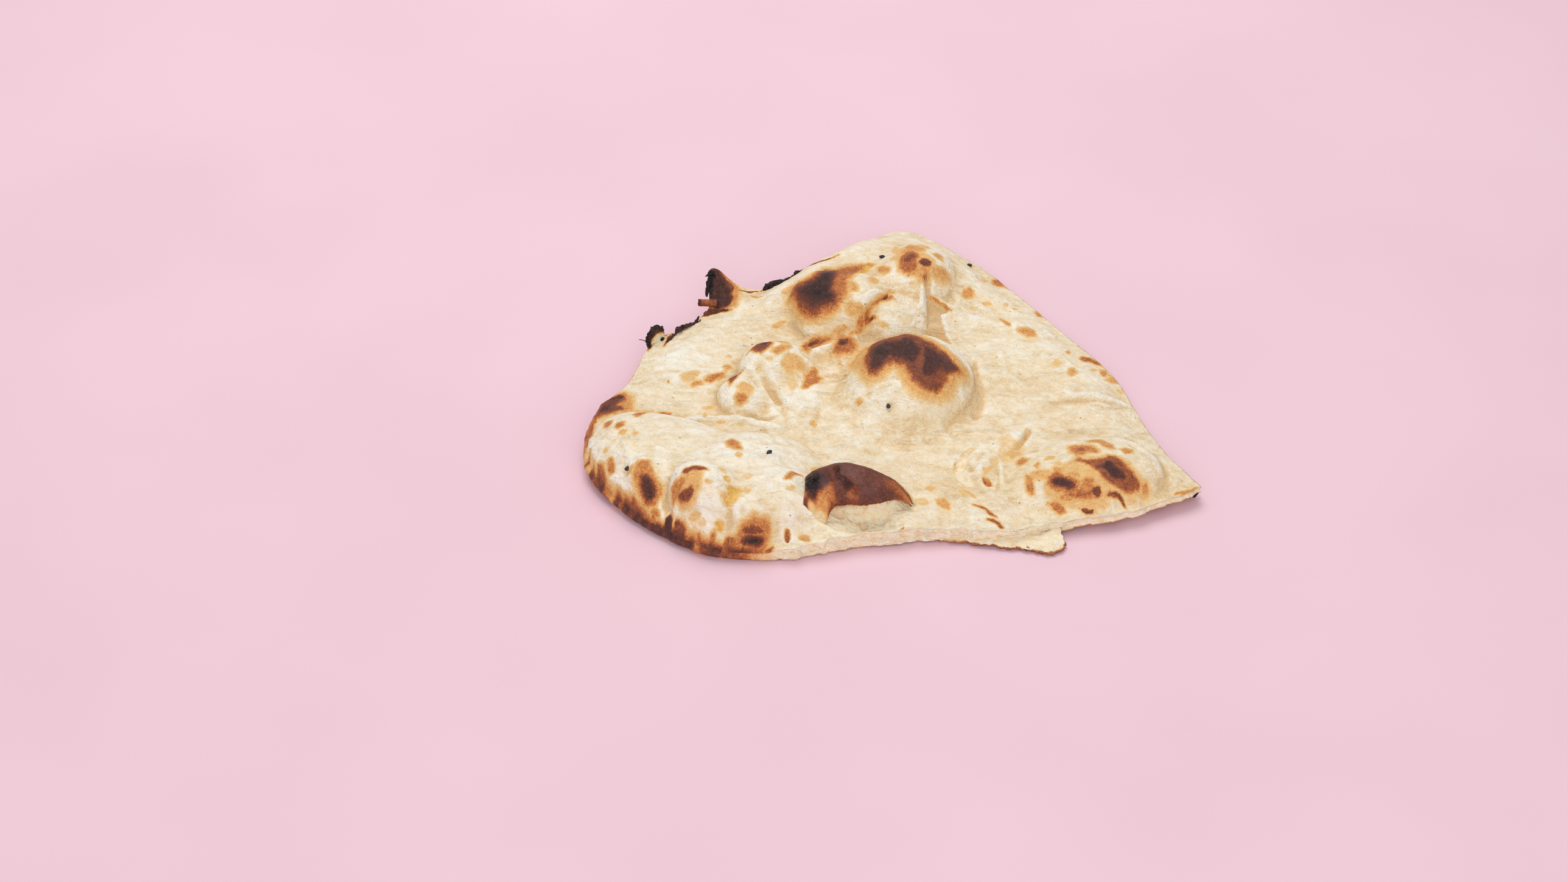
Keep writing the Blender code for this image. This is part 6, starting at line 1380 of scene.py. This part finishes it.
# Burnt crust standing along the back-left rim: depth of toasting, flatness, then x, y, z and radius at each station
CRUSTS = [
    (0.85, 0.7, [(-49.7, 73.1, 7.6, 0.88), (-48.7, 74.1, 8.2, 1.48), (-46.3, 75.7, 8.6, 1.62), (-43.7, 77.9, 8.4, 1.26), (-40.7, 80.3, 8, 0.74), (-37.5, 84.1, 7.2, 0.66), (-36.5, 84.7, 8, 1.17), (-34.9, 86.3, 7.6, 0.74), (-32.3, 87.7, 7.2, 0.94), (-30.1, 88.5, 7, 0.65), (-27.5, 89.5, 6.8, 0.36)]),
    (0.48, 0.6, [(-58.4, 71.1, 8.8, 0.41), (-56.8, 71.7, 8.6, 0.34), (-55, 71.3, 8.4, 0.48), (-53.2, 72.3, 8, 0.34), (-51.6, 71.5, 8, 0.48)]),
    (0.62, 0.6, [(-72.9, 58.2, 7.2, 0.68), (-70.5, 59.8, 7.6, 1.14), (-66.7, 60, 8, 1.02), (-63.9, 59.6, 8.6, 0.74), (-61.9, 59.4, 9.4, 0.48)]),
    (0.80, 0.6, [(-83.5, 46.1, 8.3, 1.04), (-81.3, 49.1, 8.1, 1.3), (-78.7, 51.1, 7.9, 0.91), (-75.9, 53.9, 7, 0.66), (-73.1, 56.1, 6.9, 0.59)]),
    (0.70, 0.6, [(-86.9, 40, 7.8, 0.44), (-85.5, 42.6, 7.9, 0.72), (-84.1, 45.2, 7.8, 0.59), (-83.1, 46.6, 7.8, 0.66)]),
    (0.82, 0.9, [(-93, 36.4, 7.8, 0.5), (-93.6, 38.6, 9.0, 1.0), (-93.0, 40.4, 10.8, 1.35), (-91.8, 41.8, 12.4, 1.5), (-90.4, 43.0, 12.8, 1.35), (-88.8, 43.8, 12.0, 0.95), (-87.8, 44.6, 10.4, 0.45)]),
    (1.0, 0.6, [(-97.2, 36.6, 12.6, 0.16), (-95.8, 37.8, 11.4, 0.24), (-95.4, 38.2, 10.8, 0.18), (-93.6, 39.0, 9.6, 0.26)]),
    (0.90, 0.7, [(-76.1, 54.2, 7.6, 0.51), (-75.1, 55.0, 8.2, 0.62), (-74.5, 55.8, 9.3, 0.14)]),
    (1.0, 0.8, [(-88.8, 40.8, 8.3, 0.51), (-88.4, 42, 8.6, 0.76), (-87.6, 42.6, 8.4, 0.51)]),
    (1.0, 0.9, [(-72.4, 72.2, 15.8, 0.17), (-71, 73.0, 16.2, 0.68), (-70.2, 73.8, 16.6, 0.8), (-69, 73.4, 16.0, 0.57), (-68.4, 72.8, 15.2, 0.34)]),
    (1.0, 0.7, [(-70.2, 73.0, 15.8, 0.85), (-70.6, 71.2, 14.6, 0.97), (-71.2, 69.6, 13.0, 0.8), (-71.6, 68, 11.6, 0.74), (-71.8, 66.4, 10.2, 0.5)]),
    (0.95, 0.8, [(104.2, -40.3, 1.9, 0.3), (106.0, -41.4, 1.6, 0.8), (107.6, -41.5, 1.5, 0.95), (109.0, -40.6, 1.9, 0.7), (110.0, -39.1, 2.6, 0.3)]),
]
# The rolled-up burnt strip by the ear: two ends of its axis, radius
SCROLL = ((-75.0, 62.8, 10.4), (-67.4, 63.4, 9.7), 1.5)


# The pale skin left inside the burnt curl: its outer edge, then its root
WEB = ([(-93, 36.6, 7.8), (-93.2, 38.6, 9.0), (-92.7, 40.2, 10.6), (-91.6, 41.6, 12.0), (-90.3, 42.8, 12.4), (-88.8, 43.6, 11.8), (-87.6, 44.4, 10.2)],
       [(-92.0, 36.0, 6.8), (-91.2, 37.2, 7.0), (-90.2, 38.6, 7.1), (-89.4, 39.8, 7.2), (-88.6, 40.8, 7.2), (-87.8, 41.8, 7.3), (-87.2, 42.8, 7.5)])


def web_part(seed):
    """The curl's pale skin, between its burnt edge and the rim."""
    nu, nv = 60, 30
    s, t = np.linspace(0, 1, nu + 1), np.linspace(0, 1, nv + 1)[None, :, None]
    p = spline(np.array(WEB[0]), s)[:, None] * (1 - t) + spline(np.array(WEB[1]), s)[:, None] * t
    p[..., 2] += 0.3 * noise(p[..., 0], p[..., 1], 2.0, seed) + 0.15 * noise(p[..., 0], p[..., 1], 0.8, seed + 1)
    lit = np.clip(0.55 * step(0.40, 0.0, t[..., 0] + 0.15 * noise(p[..., 0], p[..., 1], 1.6, seed + 2)) + 0.04, 0, 1)
    inner = p - np.array([0.35, 0.35, 0.55])
    index = np.arange(p[..., 0].size).reshape(nu + 1, nv + 1)
    quads = np.stack([index[:-1, :-1], index[:-1, 1:], index[1:, 1:], index[1:, :-1]], -1).reshape(-1, 4)
    border = ring_of(index)
    strip = np.stack([border, np.roll(border, -1), np.roll(border, -1) + index.size, border + index.size], -1)
    return np.vstack([p.reshape(-1, 3), inner.reshape(-1, 3)]), np.vstack([quads, quads[:, ::-1] + index.size, strip]), np.concatenate([lit.ravel(), lit.ravel()])


def crust(path, flat, toasted, seed):
    """One lumpy burnt ridge: a tube along a curve, its radius broken up by noise, darkest on top."""
    sides, steps = 28, max(40, int(14 * len(path)))
    rows = spline(np.array(path, float), np.linspace(0, 1, steps + 1))
    centre, radius = rows[:, :3], np.maximum(rows[:, 3], 0.1)
    end = np.linspace(0, 1, steps + 1)
    radius = radius * np.sqrt(np.clip(np.minimum(end, 1 - end) * 14, 0.0, 1.0))
    run = np.gradient(centre, axis=0)
    run /= np.linalg.norm(run, axis=1, keepdims=True)
    side = np.cross(run, (0, 0, 1.0))
    side /= np.maximum(np.linalg.norm(side, axis=1, keepdims=True), 1e-6)
    up = np.cross(side, run)
    a = np.linspace(0, 2 * math.pi, sides, endpoint=False)
    out = side[:, None] * np.cos(a)[None, :, None] + up[:, None] * (np.sin(a) * 1.0)[None, :, None] * 1.0
    p = centre[:, None] + out * radius[:, None, None] * np.where(np.sin(a) > 0, 1.0, flat)[None, :, None]
    rough_push = 1 + 0.55 * noise(p[..., 0], p[..., 1], 1.3, seed, p[..., 2]) + 0.45 * noise(p[..., 0], p[..., 1], 0.55, seed + 1, p[..., 2]) + 0.2 * noise(p[..., 0], p[..., 1], 0.28, seed + 2, p[..., 2])
    p = centre[:, None] + (p - centre[:, None]) * np.clip(rough_push, 0.25, 2.0)[..., None]
    lit = np.clip(toasted + 0.14 * np.sin(a)[None] + 0.16 * noise(p[..., 0], p[..., 1], 1.6, seed + 3, p[..., 2]) - 0.30 * step(0.35, 1.0, -np.sin(a))[None], 0.2, 1)
    index = np.arange((steps + 1) * sides).reshape(steps + 1, sides)
    nxt = np.roll(index, -1, axis=1)
    quads = np.stack([index[:-1], nxt[:-1], nxt[1:], index[1:]], -1).reshape(-1, 4)
    return p.reshape(-1, 3), quads, lit.ravel(), (index[0], index[-1])


def scroll_part(seed):
    """A strip of burnt skin rolled up on itself, open at its ends."""
    a, b, r = (np.array(v, float) for v in SCROLL)
    nu, nv = 60, 84
    u, v = np.meshgrid(np.linspace(0, 1, nu + 1), np.linspace(0, 1, nv + 1), indexing="ij")
    axis = (b - a) / np.linalg.norm(b - a)
    side = np.cross(axis, (0, 0, 1.0))
    side /= np.linalg.norm(side)
    up = np.cross(side, axis)
    angle = math.radians(-60) + v * math.radians(560)
    radius = r * (1.0 - 0.42 * v) * (1 + 0.10 * noise(u * 9, v * 14, 2.2, seed) + 0.06 * noise(u * 9, v * 14, 0.8, seed + 1))
    along = a + (b - a) * (u + 0.05 * noise(v * 9, 0 * v, 1.5, seed + 2) * (2 * u - 1))[..., None]
    p = along + side * (np.cos(angle) * radius)[..., None] + up * (np.sin(angle) * radius)[..., None]
    lit = np.clip(0.56 + 0.40 * (step(0.22, 0.0, u) + step(0.90, 1.0, u)) + 0.14 * noise(p[..., 0], p[..., 1], 1.8, seed + 3, p[..., 2]), 0, 1)
    n = normals_of(p)
    inner = p - n * 0.22
    index = np.arange(p[..., 0].size).reshape(nu + 1, nv + 1)
    quads = np.stack([index[:-1, :-1], index[1:, :-1], index[1:, 1:], index[:-1, 1:]], -1).reshape(-1, 4)
    border = ring_of(index)
    strip = np.stack([border, border + index.size, np.roll(border, -1) + index.size, np.roll(border, -1)], -1)
    return np.vstack([p.reshape(-1, 3), inner.reshape(-1, 3)]), np.vstack([quads, quads[:, ::-1] + index.size, strip]), np.concatenate([lit.ravel(), lit.ravel()])


def make_crusts(name):
    verts, quads, tops, base, caps = [], [], [], 0, []
    for k, (toasted, flat, path) in enumerate(CRUSTS):
        v, q, t, ends = crust(path, flat, toasted, 140 + 7 * k)
        verts.append(v)
        quads.append(q + base)
        tops.append(t)
        caps += [ends[0][::-1] + base, ends[1] + base]
        base += len(v)
    for v, q, t in (scroll_part(260), web_part(270)):
        verts.append(v)
        quads.append(q + base)
        tops.append(t)
        base += len(v)
    tops = np.concatenate(tops)
    return new_mesh(name, to_scene(np.vstack(verts)), [np.vstack(quads), np.array(caps)], {"toast_and_shade": tops, "crumb": 0 * tops, "thin": 0 * tops, "stain": 0 * tops, "tint_and_shade": 0.2 + 0 * tops, "painted_sheen": 0 * tops})


def seed_material():
    n = Nodes("nigella_seed")
    n.set("Base Color", n.ramp(n.noise(0.5, 3, 0.6), [(0.35, srgb(22, 21, 24)), (0.65, srgb(52, 50, 54))]))
    n.set("Roughness", 0.5)
    n.set("Normal", n.add("ShaderNodeBump", {"Height": n.noise(0.35, 3, 0.6), "Strength": 0.8, "Distance": 0.0003}).outputs[0])
    return n.material


# ---------------------------------------------------------------- the scene

def area_light(name, place, target, size, power, colour=(1, 1, 1)):
    data = bpy.data.lights.new(name, 'AREA')
    data.shape, data.size, data.energy, data.color = 'DISK', size, power, colour
    lamp = bpy.data.objects.new(name, data)
    lamp.location = place
    lamp.rotation_euler = (Vector(target) - Vector(place)).to_track_quat('-Z', 'Y').to_euler()
    bpy.context.scene.collection.objects.link(lamp)


def make_camera():
    data = bpy.data.cameras.new("camera")
    data.lens, data.sensor_width, data.clip_start, data.clip_end = 70.0, 36.0, 0.05, 30.0
    camera = bpy.data.objects.new("camera", data)
    camera.location = (-0.038752, -0.902081, 0.731739)
    camera.rotation_euler = (math.radians(50.0), 0.0, 0.0)
    bpy.context.scene.collection.objects.link(camera)
    bpy.context.scene.camera = camera


def make_floor():
    n, reach = 24, 3.0
    s = np.linspace(-reach, reach, n + 1)
    x, y = np.meshgrid(s, s, indexing="ij")
    verts = np.stack([x, y, np.zeros_like(x)], -1).reshape(-1, 3)
    index = np.arange(len(verts)).reshape(n + 1, n + 1)
    quads = np.stack([index[:-1, :-1], index[1:, :-1], index[1:, 1:], index[:-1, 1:]], -1).reshape(-1, 4)
    floor = new_mesh("floor", verts, [quads])
    floor.data.materials.append(floor_material())


make_camera()
make_floor()

dough = dough_material("baked_dough")
bread, outline = make_bread("naan_bread")
bread.data.materials.append(dough)
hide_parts("naan")
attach(bread, "root")

cap = make_cap("torn_blister_skin")
tongue = make_tongue("lower_skin")
torn = make_torn("torn_edge_crumb")
for piece in (cap, tongue, torn):
    piece.data.materials.append(dough)
    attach(piece, "root")

crusts = make_crusts("charred_rim_crust")
crusts.data.materials.append(dough_material("charred_crust"))
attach(crusts, "root")

ground = Ground()
seed = seeds("nigella_seeds", ground)
seed.data.materials.append(seed_material())
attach(seed, "root")

area_light("key", (-0.16, 0.52, 1.10), (0, 0, 0), 0.9, 7.4, (1.0, 0.99, 0.98))
area_light("fill", (0.18, -1.05, 0.85), (0, 0, 0), 1.4, 3.9, (1.0, 0.99, 0.985))
area_light("low_fill", (-0.10, -1.15, 0.42), (0, 0, 0.01), 0.9, 2.3, (1.0, 0.985, 0.96))
world = bpy.data.worlds.new("studio")
bpy.context.scene.world = world
world.use_nodes = True
world.node_tree.nodes["Background"].inputs[0].default_value = (1.0, 0.985, 0.985, 1)
world.node_tree.nodes["Background"].inputs[1].default_value = 0.48
bpy.context.scene.view_settings.view_transform = 'Standard'
